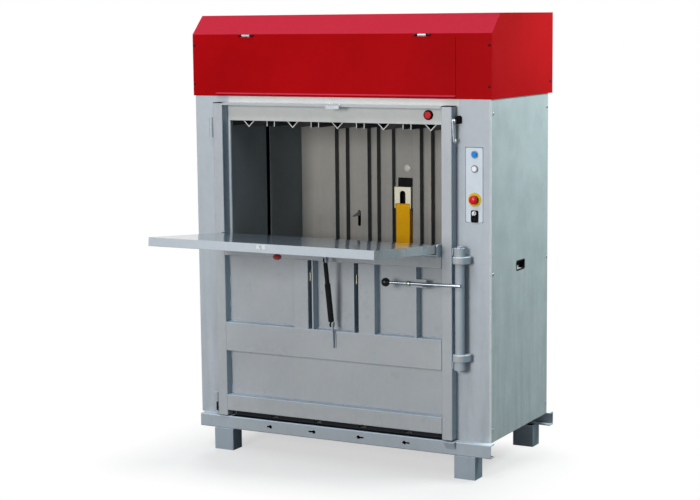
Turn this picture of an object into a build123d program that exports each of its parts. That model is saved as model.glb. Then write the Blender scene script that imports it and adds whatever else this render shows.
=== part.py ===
"""Recycling baler: a vertical press with a ram, a chamber door with a loading flap, and a red hood.

Body datums: x from the body's left face, y from the front plate's face (to the rear), z from the floor.
The planes level(), upright() and side() place these datums in the part's own frame, whose origin lies
under the middle of the whole machine with the flap down.
"""
from build123d import *
from math import cos, hypot, radians, sin
import os

os.makedirs("parts", exist_ok=True)

# Body
body_width = 1478.0
body_depth = 653.0
fold_radius = 7.0
body_bottom = 160.0
body_top = 1641.0
sheet = 3.0
wall_plate = 4.0
seam = 0.3                  # air between pieces that do not touch
mid_x = body_width / 2

# Base: two channel beams, runners between them and four feet
beam_height = 60.0
beam_flange = 41.0
beam_wall = 5.0
beam_left = 20.0
beam_overhang = 17.0        # past the body's right face
beam_length = body_width + beam_overhang - beam_left
rear_beam_back = body_depth + 37.0
foot_width = 100.0
foot_depth = 78.0
foot_height = 100.0
foot_proud = 7.0
foot_inset = 80.0           # from the end of the beam to the outer foot face
foot_wall = 8.0
foot_radius = 2.0
runner_width = 90.0
runner_pitch = 300.0

# Keyholes for the strap ends in the front beam
keyhole_diameter = 17.0
keyhole_slot = 8.0
keyhole_length = 24.0
strap_pitch = 228.0
strap_width = 42.0

# Chamber
column_width = 188.0
chamber_width = body_width - 2 * column_width
chamber_back = body_depth - sheet
floor_top = 176.0
floor_thickness = 5.0
opening_edge = 2.0          # the chamber walls show this much inside the opening
opening_top = 1531.0
opening_bottom = 163.0
groove_depth = 40.0
slot_y = body_depth / 2 + 7.0
slot_width = 37.0
slot_bottom = 900.0

# Hood
hood_overhang = 6.0
hood_front = -2.5
hood_back = body_depth + 36.0
hood_break = 1919.0
hood_top = 2003.5
hood_slope = 86.0
hood_sheet = 2.0
hood_screw_head = 2.0
hatch_left = 120.0
hatch_right = body_width - 162.0
hatch_bottom = 1651.0
hatch_top = 1907.0
hatch_gap = 0.5
hatch_lip = 12.0
hatch_overlap = 30.0
hatch_axis_z = 1913.0
knuckle_radius = 4.5
knuckle_length = 56.0
knuckle_end = 10.0
hatch_pin_radius = 2.0
left_knuckle_x = 282.0
right_knuckle_x = hatch_right - 155.5

# Ram
platen_gap = 4.0
platen_front = 6.0
platen_bottom = 1530.0
platen_height = 80.0
platen_plate = 10.0
platen_wall = 6.0
ridge_drop = 29.0
ridge_wall = 4.0
guide_drop = 24.0
guide_wall = 4.0
arm_width = 31.0
arm_bottom = 1540.0
arm_height = 60.0
ram_travel = 625.0
cylinder_x = 95.0
cylinder_radius = 40.0
cylinder_bore = 35.0
cylinder_top = 900.0
gland_height = 40.0
rod_radius = 22.5
piston_height = 40.0
rod_fit = 0.1

# Door
stile_width = 50.0
stile_depth = 50.0
stile_wall = 4.0
stile_radius = 5.0
door_left = 125.0
door_right = body_width - 159.0
door_gap = 1.0              # from the stiles to the front plate
door_bottom = 163.0
door_top = 1613.0
top_bar_height = 11.0
cap_thickness = 3.0
upper_rail_bottom = 916.0
upper_rail_top = 966.0
middle_rail_bottom = 471.0
middle_rail_top = 605.0
bottom_rail_bottom = 190.0
bottom_rail_top = 264.0
rail_wall = 4.0
skin_thickness = 4.0
post_wall = 5.0
left_post_width = 75.0
right_post_width = 82.0
mouth_width = 20.0          # between a strap post and its rib
rib_width = 6.5
plain_rib_width = 9.0
plain_rib_left = door_right - 178.5
door_slot_width = 17.0

# Door hinges
hinge_axis_x = 103.0
hinge_axis_y = -28.0
hinge_radius = 11.0
hinge_pin_radius = 6.0
hinge_pin_fit = 0.1
hinge_height = 92.0
hinge_leaf = 6.0
hinge_levels = (173.0, 1453.0)

# Flap, folded down to rest a little above level
flap_pivot_y = -68.0
flap_pivot_z = 990.0
flap_tilt = 4.64
flap_left = 181.5
flap_right = door_right - 56.5
flap_heel = -3.5            # rear edge along the flap, from the pivot
flap_length = 605.0
flap_face = 31.4            # outer face above the pivot
flap_flange = 38.0
flap_sheet = 2.5
lug_thickness = 5.0
lug_depth = 50.0
lug_bottom = 968.0
lug_top = 1024.0
flap_pin_radius = 6.0
flap_pin_fit = 0.1

# Flap latch: a bolt along the flap, worked by a knob underneath
bolt_radius = 6.0
bolt_height = 18.0          # above the pivot
bolt_travel = 7.0
bolt_fit = 0.1
bolt_length = 150.0
escutcheon = 1.5
escutcheon_height = 18.0
latch_knob_along = 467.0
latch_knob_below = -27.0
latch_knob_radius = 19.0

# Gas strut between door and flap
strut_x = mid_x - 2.0
strut_foot_y = -65.0
strut_foot_z = 636.0
strut_head_along = 45.0
strut_head_below = -61.0
shroud_radius = 13.0
shroud_bore = 10.6
shroud_length = 175.0
strut_radius = 10.0
strut_rod_radius = 4.0
strut_eye_radius = 11.0
strut_eye_width = 9.0
strut_neck = 16.0           # from an eye's middle to its tube
strut_pin_radius = 4.0
strut_gap = 0.6             # sideways, between an eye and its lug

# Lock on the right column
lock_x = door_right + 33.0
lock_y = -42.0
lock_radius = 20.5
lock_journal = 14.0
lock_fit = 0.15
lock_low = 548.0
lock_high = 940.0
bracket_height = 32.0
bracket_round = 5.0
claw_height = 36.0
claw_radius = 24.0
lever_z = 849.0
lever_radius = 6.5
lever_end_x = door_right - 285.0
lever_end_y = -92.0
knob_radius = 19.5

# Controls on the right column
panel_x = body_width - 75.7
panel_z = 1276.8
panel_width = 78.5
panel_height = 318.5
panel_thickness = 3.0
button_x = body_width - 73.5
blue_z = 1407.5
white_z = 1346.5
button_ring = 16.0
button_cap = 11.5
button_ring_depth = 4.0
button_travel = 3.0
estop_z = 1214.9
estop_ring_radius = 30.0
estop_head_radius = 24.0
estop_stem_radius = 11.0
estop_head_depth = 16.0
estop_travel = 5.0
selector_z = 1157.0
selector_plate_z = 1143.3
selector_width = 34.0
selector_height = 52.0
selector_radius = 9.5
header_x = body_width - 290.5
header_z = 1571.5
header_ring = 21.5
header_cap = 15.0
cap_fit = 0.3

# Frame of the whole part: origin under the middle of its box
flap_tip = flap_heel + flap_length
tilt = radians(flap_tilt)
flap_low = flap_face - flap_flange
flap_reach = flap_pivot_y - (flap_tip + escutcheon) * cos(tilt)
flap_reach += (bolt_height - escutcheon_height / 2) * sin(tilt)
body_left = -(beam_left + beam_length - hood_overhang - hood_screw_head) / 2
body_front = -(rear_beam_back + flap_reach) / 2

chamber_left = mid_x - chamber_width / 2
chamber_right = mid_x + chamber_width / 2
strap_places = [mid_x + strap_pitch * step for step in (-1.5, -0.5, 0.5, 1.5)]
ridge_places = [mid_x + strap_pitch * step for step in (-2, -1, 0, 1, 2)]
stile_front = -door_gap - stile_depth
beam_top = foot_height + beam_height
roof_bottom = body_top - wall_plate
mirror_left = 2 * mid_x


def level(z):
    """Plane at a height: X to the right, Y to the rear."""
    return Plane((body_left, body_front, z))


def upright(y):
    """Plane parallel to the front: X to the right, Y up, its normal toward the front."""
    return Plane((body_left, body_front + y, 0), x_dir=(1, 0, 0), z_dir=(0, -1, 0))


def side(x):
    """Plane parallel to the sides: X to the rear, Y up, its normal to the right."""
    return Plane((body_left + x, body_front, 0), x_dir=(0, 1, 0), z_dir=(1, 0, 0))


def flapwise(x):
    """Plane parallel to the sides through the flap's pivot: X out along the flap, Y off its face."""
    along = (0, -cos(tilt), sin(tilt))
    return Plane((body_left + x, body_front + flap_pivot_y, flap_pivot_z), x_dir=along, z_dir=(-1, 0, 0))


def slab(plane, left, right, low, high, depth):
    """Plate on a plane between two abscissas and two ordinates."""
    with BuildPart() as plate:
        with BuildSketch(plane):
            with Locations(((left + right) / 2, (low + high) / 2)):
                Rectangle(right - left, high - low)
        extrude(amount=depth)
    return plate.part


def both_sides(piece):
    """A left-hand piece and its mirror image on the right, as separate solids of one node."""
    return together(piece, mirror(piece, about=side(mid_x)))


def together(*pieces):
    """Separate solids gathered in one node."""
    return Compound(children=[solid for piece in pieces for solid in piece.solids()])


def hand_in(piece, name):
    """Labels a finished piece and writes its file."""
    piece.label = name
    export_step(piece, f"parts/{name}.step")


# Front beam: a channel that opens to the rear, with keyholes for the strap ends
def channel_profile(front, back_face):
    """Beam section in the side plane, from its web's face to its open side."""
    turn = 1 if back_face > front else -1
    with BuildSketch(side(beam_left)) as section:
        with Locations((front + turn * beam_flange / 2, foot_height + beam_height / 2)):
            Rectangle(beam_flange, beam_height)
        with Locations((front + turn * (beam_flange + beam_wall) / 2, foot_height + beam_height / 2)):
            Rectangle(beam_flange - beam_wall, beam_height - 2 * beam_wall, mode=Mode.SUBTRACT)
    return section.sketch


with BuildPart() as front_beam:
    extrude(channel_profile(-beam_flange, 0), amount=beam_length)
    fillet(front_beam.edges().filter_by(Axis.X).group_by(Axis.Y)[0], beam_wall)
    with BuildSketch(upright(-beam_flange - 1)):
        for place in strap_places:
            outward = -1 if place < mid_x else 1
            with Locations((place, foot_height + beam_height / 2)):
                Circle(keyhole_diameter / 2)
            with Locations((place + outward * keyhole_length / 2, foot_height + beam_height / 2)):
                SlotOverall(keyhole_length + keyhole_slot, keyhole_slot)
    extrude(amount=-beam_wall - 2, mode=Mode.SUBTRACT)
    closing_left = strap_places[0] - strap_width
    closing_right = strap_places[-1] + strap_width
    add(slab(upright(0), closing_left, closing_right, foot_height, beam_top, beam_wall))
with BuildPart() as rear_beam:
    extrude(channel_profile(rear_beam_back, 0), amount=beam_length)
    fillet(rear_beam.edges().filter_by(Axis.X).group_by(Axis.Y)[-1], beam_wall)
# Feet: box sections with a closed sole, standing a little proud of the beams
foot_places = (beam_left + foot_inset + foot_width / 2,
               beam_left + beam_length - foot_inset + 11 - foot_width / 2)
wall_left = chamber_left - wall_plate
foot_front_y = -beam_flange - foot_proud + foot_depth / 2
foot_rear_y = rear_beam_back - foot_depth / 2
with BuildPart() as feet:
    with BuildSketch(level(0)):
        for foot_x in foot_places:
            with Locations((foot_x, foot_front_y), (foot_x, foot_rear_y)):
                RectangleRounded(foot_width, foot_depth, foot_radius)
    extrude(amount=foot_height)
    with BuildSketch(level(foot_wall)):
        for foot_x in foot_places:
            with Locations((foot_x, foot_front_y + foot_proud / 2), (foot_x, foot_rear_y)):
                Rectangle(foot_width - 2 * foot_wall, foot_depth - 2 * foot_wall - foot_proud)
    extrude(amount=foot_height, mode=Mode.SUBTRACT)
hand_in(feet.part, "feet")

# Runners from beam to beam, under the columns and under the chamber floor
runner_length = rear_beam_back - beam_flange - seam * 2
with BuildPart() as base_runners:
    with BuildSketch(upright(seam)):
        with Locations((mid_x, foot_height + beam_height / 2)):
            with GridLocations(runner_pitch, 0, 5, 1):
                Rectangle(runner_width, beam_height)
        with Locations((mid_x, foot_height + beam_height / 2 - beam_wall)):
            with GridLocations(runner_pitch, 0, 5, 1):
                Rectangle(runner_width - 2 * beam_wall, beam_height, mode=Mode.SUBTRACT)
    extrude(amount=-(runner_length - seam))

# Column floors: plates on the beams that carry the cylinders
with BuildPart() as column_floors:
    with BuildSketch(level(beam_top)):
        for floor_x in (wall_left / 2 + sheet / 2, mirror_left - wall_left / 2 - sheet / 2):
            with Locations((floor_x, body_depth / 2)):
                Rectangle(wall_left - sheet - 2 * seam, body_depth - 2 * sheet - 4 * seam)
    extrude(amount=beam_wall)
    fillet(column_floors.edges().filter_by(Axis.Z).group_by(Axis.Y)[0], fold_radius - sheet)
base_frame = together(front_beam.part, rear_beam.part, base_runners.part, column_floors.part)
hand_in(base_frame, "base_frame")

# Ramp on the front beam that carries the closing door
ramp_width = 46.0
ramp_left = door_right - stile_width / 2 - ramp_width / 2 + 14
ramp_low = 126.0
ramp_run = 28.0
with BuildPart() as door_ramp:
    with BuildSketch(side(ramp_left)):
        with BuildLine():
            Polyline((-beam_flange, ramp_low), (-beam_flange, beam_top - 1),
                     (-beam_flange - ramp_run, beam_top - 1),
                     (-beam_flange, ramp_low))
        make_face()
    extrude(amount=ramp_width)
hand_in(door_ramp.part, "door_ramp")

# Floor: a plate slotted for the straps over four channels
floor_left = chamber_left + seam
with BuildPart() as floor_plate:
    add(slab(level(floor_top - floor_thickness), floor_left, mirror_left - floor_left, sheet + seam,
             chamber_back - seam,
             floor_thickness))
    with BuildSketch(level(floor_top - floor_thickness - 1)):
        with Locations((mid_x, chamber_back / 2)):
            with GridLocations(strap_pitch, 0, 4, 1):
                Rectangle(strap_width - 12, chamber_back + 20)
    extrude(amount=floor_thickness + 2, mode=Mode.SUBTRACT)
    add(slab(level(beam_top), floor_left, mirror_left - floor_left, sheet + seam, 2 * sheet + seam,
             floor_top - floor_thickness - beam_top))
    with BuildSketch(level(beam_top)):
        with Locations((mid_x, sheet + seam + sheet / 2)):
            with GridLocations(strap_pitch, 0, 4, 1):
                Rectangle(strap_width + 2 * seam, sheet + 2)
    extrude(amount=floor_top - floor_thickness - beam_top, mode=Mode.SUBTRACT)
channel_depth = floor_top - floor_thickness - beam_top
with BuildPart() as floor_channels:
    with BuildSketch(upright(sheet + seam)):
        with Locations((mid_x, beam_top + channel_depth / 2)):
            with GridLocations(strap_pitch, 0, 4, 1):
                Rectangle(strap_width, channel_depth)
        with Locations((mid_x, beam_top + channel_depth / 2 + sheet)):
            with GridLocations(strap_pitch, 0, 4, 1):
                Rectangle(strap_width - 2 * sheet, channel_depth, mode=Mode.SUBTRACT)
    extrude(amount=-(chamber_back - sheet - 2 * seam))
hand_in(together(floor_plate.part, floor_channels.part), "chamber_floor")

# Front plate: one sheet with the feed opening, folded back at both sides
fold_depth = 10.0
inner_corner_range = (body_front + sheet - seam, body_front + sheet + seam)
opening_left = chamber_left - opening_edge
with BuildPart() as front_plate:
    with BuildSketch(level(body_bottom)):
        with Locations((mid_x, fold_depth / 2)):
            Rectangle(body_width, fold_depth)
        with Locations((mid_x, sheet + fold_depth / 2)):
            Rectangle(body_width - 2 * sheet, fold_depth, mode=Mode.SUBTRACT)
    extrude(amount=body_top - body_bottom)
    fillet(front_plate.edges().filter_by(Axis.Z).group_by(Axis.Y)[0], fold_radius)
    inner_corners = front_plate.edges().filter_by(Axis.Z).filter_by_position(Axis.Y, *inner_corner_range)
    fillet(inner_corners, fold_radius - sheet)
    with BuildSketch(upright(-1)):
        with Locations((mid_x, (opening_bottom + opening_top) / 2)):
            Rectangle(mirror_left - 2 * opening_left, opening_top - opening_bottom)
        with Locations((button_x, estop_z)):
            Circle(estop_stem_radius + cap_fit)
    extrude(amount=-sheet - 2, mode=Mode.SUBTRACT)
hand_in(front_plate.part, "front_plate")

# Side panels: folded round the rear of each column
panel_front = fold_depth + seam
screw_ys = (22.5, body_depth - 15.0)
screw_zs = (214.0, 894.0, 1579.0)
grip_y = body_depth / 2 + 2.5
grip_z = 897.0
grip_length = 93.0
grip_height = 40.0
return_width = chamber_left - seam
screw_hole = 3.0
centre_plane = side(mid_x)


def side_panel():
    """Left panel: a sheet from the front fold to the rear, returned across the column's back."""
    with BuildPart() as panel:
        with BuildSketch(level(body_bottom)):
            with Locations((sheet / 2, (panel_front + body_depth) / 2)):
                Rectangle(sheet, body_depth - panel_front)
            with Locations((return_width / 2, body_depth - sheet / 2)):
                Rectangle(return_width, sheet)
        extrude(amount=body_top - body_bottom)
        fillet(panel.edges().filter_by(Axis.Z).group_by(Axis.Y)[-1].sort_by(Axis.X)[0], sheet - 0.5)
        with BuildSketch(side(-1)):
            with Locations((grip_y, grip_z)):
                RectangleRounded(grip_length, grip_height, 8)
        extrude(amount=sheet + 2, mode=Mode.SUBTRACT)
        with BuildSketch(side(-1)):
            for screw_y in screw_ys:
                for screw_z in screw_zs:
                    with Locations((screw_y, screw_z)):
                        Circle(screw_hole)
        extrude(amount=sheet + 2, mode=Mode.SUBTRACT)
    return panel.part


hand_in(both_sides(side_panel()), "side_panels")

# Screws of the side panels, button heads outside
screw_head = 7.0
screw_head_depth = 2.5
screw_length = 10.0


def panel_screws():
    """Screws of the left panel: shank in its hole, head on the sheet."""
    with BuildPart() as screws:
        with BuildSketch(side(0)):
            for screw_y in screw_ys:
                for screw_z in screw_zs:
                    with Locations((screw_y, screw_z)):
                        Circle(screw_head)
        extrude(amount=-screw_head_depth)
        fillet(screws.edges().filter_by(GeomType.CIRCLE).group_by(Axis.X)[0], 1.5)
        with BuildSketch(side(0)):
            for screw_y in screw_ys:
                for screw_z in screw_zs:
                    with Locations((screw_y, screw_z)):
                        Circle(screw_hole - 0.1)
        extrude(amount=screw_length)
    return screws.part


# Finger grips: dished inserts in the side panels
grip_depth = 22.0
grip_rim = 3.0


def finger_grip():
    """Left grip: a dish behind the panel's opening with a thin rim outside."""
    with BuildPart() as grip:
        with BuildSketch(side(0)):
            with Locations((grip_y, grip_z)):
                RectangleRounded(grip_length + 2 * grip_rim, grip_height + 2 * grip_rim, 10)
        extrude(amount=-1)
        with BuildSketch(side(0)):
            with Locations((grip_y, grip_z)):
                RectangleRounded(grip_length - 2 * seam, grip_height - 2 * seam, 8)
        extrude(amount=grip_depth)
        with BuildSketch(side(-1)):
            with Locations((grip_y, grip_z)):
                RectangleRounded(grip_length - 5, grip_height - 5, 6)
        extrude(amount=grip_depth - 1, taper=8, mode=Mode.SUBTRACT)
    return grip.part


hand_in(both_sides(finger_grip()), "finger_grips")

# Chamber side walls: plates slotted for the ram's arms
slot_top = arm_bottom + arm_height + 20


def chamber_wall():
    """Left wall, standing between the front plate and the back wall."""
    with BuildPart() as wall:
        add(slab(level(beam_top), wall_left, chamber_left, sheet + seam, chamber_back - seam,
                 roof_bottom - beam_top))
        with BuildSketch(side(wall_left - 1)):
            with Locations((slot_y, (slot_bottom + slot_top) / 2)):
                SlotOverall(slot_top - slot_bottom, slot_width, rotation=90)
        extrude(amount=wall_plate + 2, mode=Mode.SUBTRACT)
    return wall.part


hand_in(both_sides(chamber_wall()), "chamber_walls")

# Back wall: two folded halves whose channels take the straps, and the ejector bay between them
bay_width = 108.0
relief_width = 34.0
relief_offset = 55.0        # from a strap channel's middle to its neighbour's
back_left = chamber_left + seam
bay_left = mid_x - bay_width / 2
keyhole_x = mid_x - 232.7
pocket_depth = 35.0
pocket_width = 40.0
keyhole_top = 1066.0
keyhole_bottom = 988.0
keyhole_wide = 16.0


def back_half():
    """Left half: panels at the chamber's back with strap channels and relief grooves pressed behind."""
    outer_strap = mid_x - 1.5 * strap_pitch
    inner_strap = mid_x - 0.5 * strap_pitch
    grooves = [
        (outer_strap, strap_width),
        (outer_strap + relief_offset, relief_width),
        (inner_strap - relief_offset, relief_width),
        (inner_strap, strap_width),
    ]
    with BuildPart() as half:
        with BuildSketch(level(beam_top)):
            with Locations(((back_left + bay_left) / 2, chamber_back + sheet / 2)):
                Rectangle(bay_left - back_left, sheet)
            for groove_x, groove_width in grooves:
                with Locations((groove_x, chamber_back + groove_depth / 2)):
                    Rectangle(groove_width + 2 * sheet, groove_depth)
            with Locations((bay_left - sheet / 2, chamber_back + groove_depth / 2)):
                Rectangle(sheet, groove_depth)
            for groove_x, groove_width in grooves:
                with Locations((groove_x, chamber_back + groove_depth / 2 - sheet)):
                    Rectangle(groove_width, groove_depth, mode=Mode.SUBTRACT)
        extrude(amount=roof_bottom - beam_top)
        fillet(half.edges().filter_by(Axis.Z).group_by(Axis.Y)[0], sheet - 0.5)
    return half.part


with BuildPart() as back_wall_left:
    add(back_half())
    pocket_low = keyhole_bottom - 13
    pocket_high = keyhole_top + 13
    pocket_left = keyhole_x - pocket_width / 2
    pocket_right = keyhole_x + pocket_width / 2
    add(slab(upright(chamber_back + pocket_depth), pocket_left, pocket_right, pocket_low, pocket_high,
             pocket_depth - sheet))
    with BuildSketch(upright(chamber_back + pocket_depth - sheet)):
        with Locations((keyhole_x, (pocket_low + pocket_high) / 2)):
            Rectangle(pocket_width - 2 * sheet, pocket_high - pocket_low - 2 * sheet)
    extrude(amount=pocket_depth - 2 * sheet, mode=Mode.SUBTRACT)
    with BuildSketch(upright(chamber_back - 1)):
        with Locations((keyhole_x, (keyhole_top + keyhole_bottom) / 2)):
            SlotOverall(keyhole_top - keyhole_bottom, keyhole_wide, rotation=90)
    extrude(amount=-sheet - 2, mode=Mode.SUBTRACT)

# Leaf on the wall beside the keyhole, its root held in the pocket behind
leaf_reach = 38.0
leaf_thickness = 2.0
leaf_top = keyhole_top - 1
with BuildPart() as keyhole_leaf:
    with BuildSketch(upright(chamber_back)):
        with BuildLine():
            Polyline((keyhole_x + 3, leaf_top - 26), (keyhole_x + 3, leaf_top),
                     (keyhole_x - leaf_reach, leaf_top - 31),
                     (keyhole_x - leaf_reach + 8, leaf_top - 34), (keyhole_x - 3, leaf_top - 26),
                     (keyhole_x + 3, leaf_top - 26))
        make_face()
    extrude(amount=leaf_thickness)
    add(slab(upright(chamber_back + pocket_depth - sheet), keyhole_x - 3, keyhole_x + 3, leaf_top - 26,
             leaf_top - 6,
             pocket_depth - sheet))

# Ejector bay: plate between the two halves, with a window for the ejector's lever
bay_face = rear_beam_back - 6.0
plug_radius = 17.0
plug_offset = 13.0
plug_z = 1274.5
window_bottom = 1186.0
window_top = 1228.0
window_width = 78.0
with BuildPart() as ejector_bay:
    add(slab(upright(rear_beam_back), bay_left + seam, mirror_left - bay_left - seam, beam_top, roof_bottom,
             rear_beam_back - bay_face))
    with BuildSketch(upright(bay_face - 1)):
        with Locations((mid_x, (window_bottom + window_top) / 2)):
            Rectangle(window_width, window_top - window_bottom)
    extrude(amount=-(rear_beam_back - bay_face - 1), mode=Mode.SUBTRACT)
    with BuildSketch(upright(bay_face)):
        with Locations((mid_x + plug_offset, plug_z)):
            Circle(plug_radius)
    extrude(amount=3)
back_wall_right = mirror(back_half(), about=centre_plane)
hand_in(together(back_wall_left.part, back_wall_right, ejector_bay.part, keyhole_leaf.part), "back_wall")

# Ejector hook: plate with a rounded notch level with the wall, on ears that carry the sling's pin
hook_width = 86.0
hook_bottom = 1107.0
hook_top = 1186.0
hook_plate = 4.0
hook_face = chamber_back + 2.0
ear_bottom = 1084.0
notch_width = 30.0
notch_top = 1168.0
hook_pin_z = 1097.0
hook_pin_radius = 5.0
hook_pin_y = hook_face + 11.0
with BuildPart() as ejector_hook:
    add(slab(upright(hook_face + hook_plate), mid_x - hook_width / 2, mid_x + hook_width / 2, hook_bottom,
             hook_top,
             hook_plate))
    for ear_x in (mid_x - hook_width / 2, mid_x + hook_width / 2 - hook_plate):
        add(slab(side(ear_x), hook_face, bay_face, ear_bottom, hook_top, hook_plate))
    with BuildSketch(upright(hook_face)):
        with Locations((mid_x, (hook_bottom + notch_top - notch_width / 2) / 2 - 1)):
            Rectangle(notch_width, notch_top - notch_width / 2 - hook_bottom + 2)
        with Locations((mid_x, notch_top - notch_width / 2)):
            Circle(notch_width / 2)
    extrude(amount=-hook_plate, mode=Mode.SUBTRACT)
    with BuildSketch(side(mid_x - hook_width / 2)):
        with Locations((hook_pin_y, hook_pin_z)):
            Circle(hook_pin_radius)
    extrude(amount=hook_width)
hand_in(ejector_hook.part, "ejector_hook")

# Ejector sling: webbing looped over the hook's pin, both ends hanging down the bay
sling_width = 75.0
sling_thickness = 3.0
sling_bottom = 640.0
sling_air = 0.6
sling_inner = hook_pin_radius + sling_air
with BuildPart() as ejector_sling:
    with BuildSketch(side(mid_x - sling_width / 2)):
        with Locations((hook_pin_y, hook_pin_z)):
            Circle(sling_inner + sling_thickness)
        with Locations((hook_pin_y, (hook_pin_z + sling_bottom) / 2)):
            Rectangle(2 * (sling_inner + sling_thickness), hook_pin_z - sling_bottom)
        with Locations((hook_pin_y, hook_pin_z)):
            Circle(sling_inner, mode=Mode.SUBTRACT)
        with Locations((hook_pin_y, (hook_pin_z + sling_bottom) / 2 + sling_thickness)):
            Rectangle(2 * sling_inner, hook_pin_z - sling_bottom, mode=Mode.SUBTRACT)
    extrude(amount=sling_width)
hand_in(ejector_sling.part, "ejector_sling")

# Roof plate over the chamber and columns, under the hood
with BuildPart() as roof_plate:
    roof_right = body_width - sheet - seam
    roof_back = body_depth - sheet - seam
    add(slab(level(roof_bottom), sheet + seam, roof_right, sheet + seam, roof_back, wall_plate))
    fillet(roof_plate.edges().filter_by(Axis.Z).group_by(Axis.Y)[0], fold_radius - sheet)
hand_in(roof_plate.part, "roof_plate")

# Hood: folded shell with a sloping front edge, open below and behind the hatch
hood_left = -hood_overhang
hood_right = body_width + hood_overhang
with BuildPart() as hood:
    with BuildSketch(side(hood_left)):
        with BuildLine():
            Polyline((hood_front, body_top), (hood_front, hood_break), (hood_front + hood_slope, hood_top),
                     (hood_back, hood_top), (hood_back, body_top), (hood_front, body_top))
        make_face()
    extrude(amount=hood_right - hood_left)
    shell_opening = hood.faces().sort_by(Axis.Z)[0]
    offset(amount=-hood_sheet, openings=shell_opening, kind=Kind.INTERSECTION)
    with BuildSketch(upright(hood_front - 1)):
        with Locations(((hatch_left + hatch_right) / 2, (hatch_bottom + hatch_top) / 2)):
            Rectangle(hatch_right - hatch_left - 2 * hatch_overlap,
                      hatch_top - hatch_bottom - 2 * hatch_overlap)
    extrude(amount=-hood_sheet - 2, mode=Mode.SUBTRACT)
    hood_folds = hood.edges().filter_by(Axis.X).filter_by(lambda edge: edge.length > hood_right - hood_left
                                                          - 1)
    fillet(hood_folds.group_by(Axis.Z)[-1] + hood_folds.sort_by(Axis.Y)[0:1], 1.5)
hand_in(hood.part, "hood")

# Screws of the hood, two at each front corner and two on each side
hood_screw_in = 8.5
hood_screw_zs = (1694.0, 1868.0)
hood_side_screw_y = hood_back - 29.0
with BuildPart() as hood_screws:
    with BuildSketch(upright(hood_front)):
        for screw_x in (hood_left + hood_screw_in, hood_right - hood_screw_in - 4):
            for screw_z in hood_screw_zs:
                with Locations((screw_x, screw_z)):
                    Circle(5.5)
    extrude(amount=hood_screw_head)
    for plane, amount in ((side(hood_left), -hood_screw_head), (side(hood_right), hood_screw_head)):
        with BuildSketch(plane):
            with Locations((hood_side_screw_y, hood_screw_zs[0])):
                Circle(5.5)
        extrude(amount=amount)
    fillet(hood_screws.edges().filter_by(GeomType.CIRCLE).group_by(Axis.Y)[0], 1.2)
hand_in(together(both_sides(panel_screws()), hood_screws.part), "cover_screws")

# Hatch: a sheet over the hood's opening, its lower edge bent out as a grip
hatch_back = hood_front - hatch_gap
hatch_axis_y = hatch_back - knuckle_radius - 0.5
with BuildPart() as hatch:
    with BuildSketch(side(hatch_left)):
        with Locations((hatch_back - hood_sheet / 2, (hatch_bottom + hatch_top) / 2)):
            Rectangle(hood_sheet, hatch_top - hatch_bottom)
        with Locations((hatch_back - hatch_lip / 2, hatch_bottom + hood_sheet / 2)):
            Rectangle(hatch_lip, hood_sheet)
    extrude(amount=hatch_right - hatch_left)
    fillet(hatch.edges().filter_by(Axis.X).group_by(Axis.Z)[0].sort_by(Axis.Y)[-1], 1.5)
hand_in(hatch.part, "hatch")

# Hatch hinges: black end knuckles with their pin on the hood, bright middle knuckle on the hatch
with BuildPart() as hatch_hinges:
    for knuckle_x in (left_knuckle_x, right_knuckle_x):
        for end in (-1, 1):
            end_x = knuckle_x + end * (knuckle_length / 2 + seam + knuckle_end / 2) - knuckle_end / 2
            with BuildSketch(side(end_x)):
                with Locations((hatch_axis_y, hatch_axis_z)):
                    Circle(knuckle_radius)
                with Locations(((hatch_axis_y + hood_front) / 2, hatch_axis_z)):
                    Rectangle(hood_front - hatch_axis_y, 2.5)
            extrude(amount=knuckle_end)
        with BuildSketch(side(knuckle_x - knuckle_length / 2 - knuckle_end / 2)):
            with Locations((hatch_axis_y, hatch_axis_z)):
                Circle(hatch_pin_radius)
        extrude(amount=knuckle_length + knuckle_end)
hand_in(hatch_hinges.part, "hatch_hinges")

with BuildPart() as hatch_knuckles:
    for knuckle_x in (left_knuckle_x, right_knuckle_x):
        with BuildSketch(side(knuckle_x - knuckle_length / 2)):
            with Locations((hatch_axis_y, hatch_axis_z)):
                Circle(knuckle_radius)
            with Locations((hatch_back - hood_sheet - 1, (hatch_axis_z + hatch_top) / 2 - 5)):
                Rectangle(2, hatch_axis_z - hatch_top + 10)
            with Locations((hatch_axis_y, hatch_axis_z)):
                Circle(hatch_pin_radius + rod_fit, mode=Mode.SUBTRACT)
        extrude(amount=knuckle_length)
hand_in(hatch_knuckles.part, "hatch_knuckles")

# Power unit under the hood: oil tank, pump, motor and valve block
tank_left = 520.0
tank_width = 380.0
tank_front = 200.0
tank_depth = 340.0
tank_height = 190.0
unit_y = tank_front + tank_depth / 2
with BuildPart() as oil_tank:
    with BuildSketch(level(body_top)):
        with Locations((tank_left + tank_width / 2, unit_y)):
            Rectangle(tank_width, tank_depth)
    extrude(amount=tank_height)
    fillet(oil_tank.edges().filter_by(Axis.Z), 12)
    offset(amount=-sheet, openings=oil_tank.faces().sort_by(Axis.Z)[-1])
    add(slab(level(body_top + tank_height), tank_left - 6, tank_left + tank_width + 6, tank_front - 6,
             tank_front + tank_depth + 6, 4))
    with BuildSketch(level(body_top + tank_height + 4)):
        with Locations((tank_left + 60, unit_y + 90)):
            Circle(28)
    extrude(amount=30)
hand_in(oil_tank.part, "oil_tank")

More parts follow.
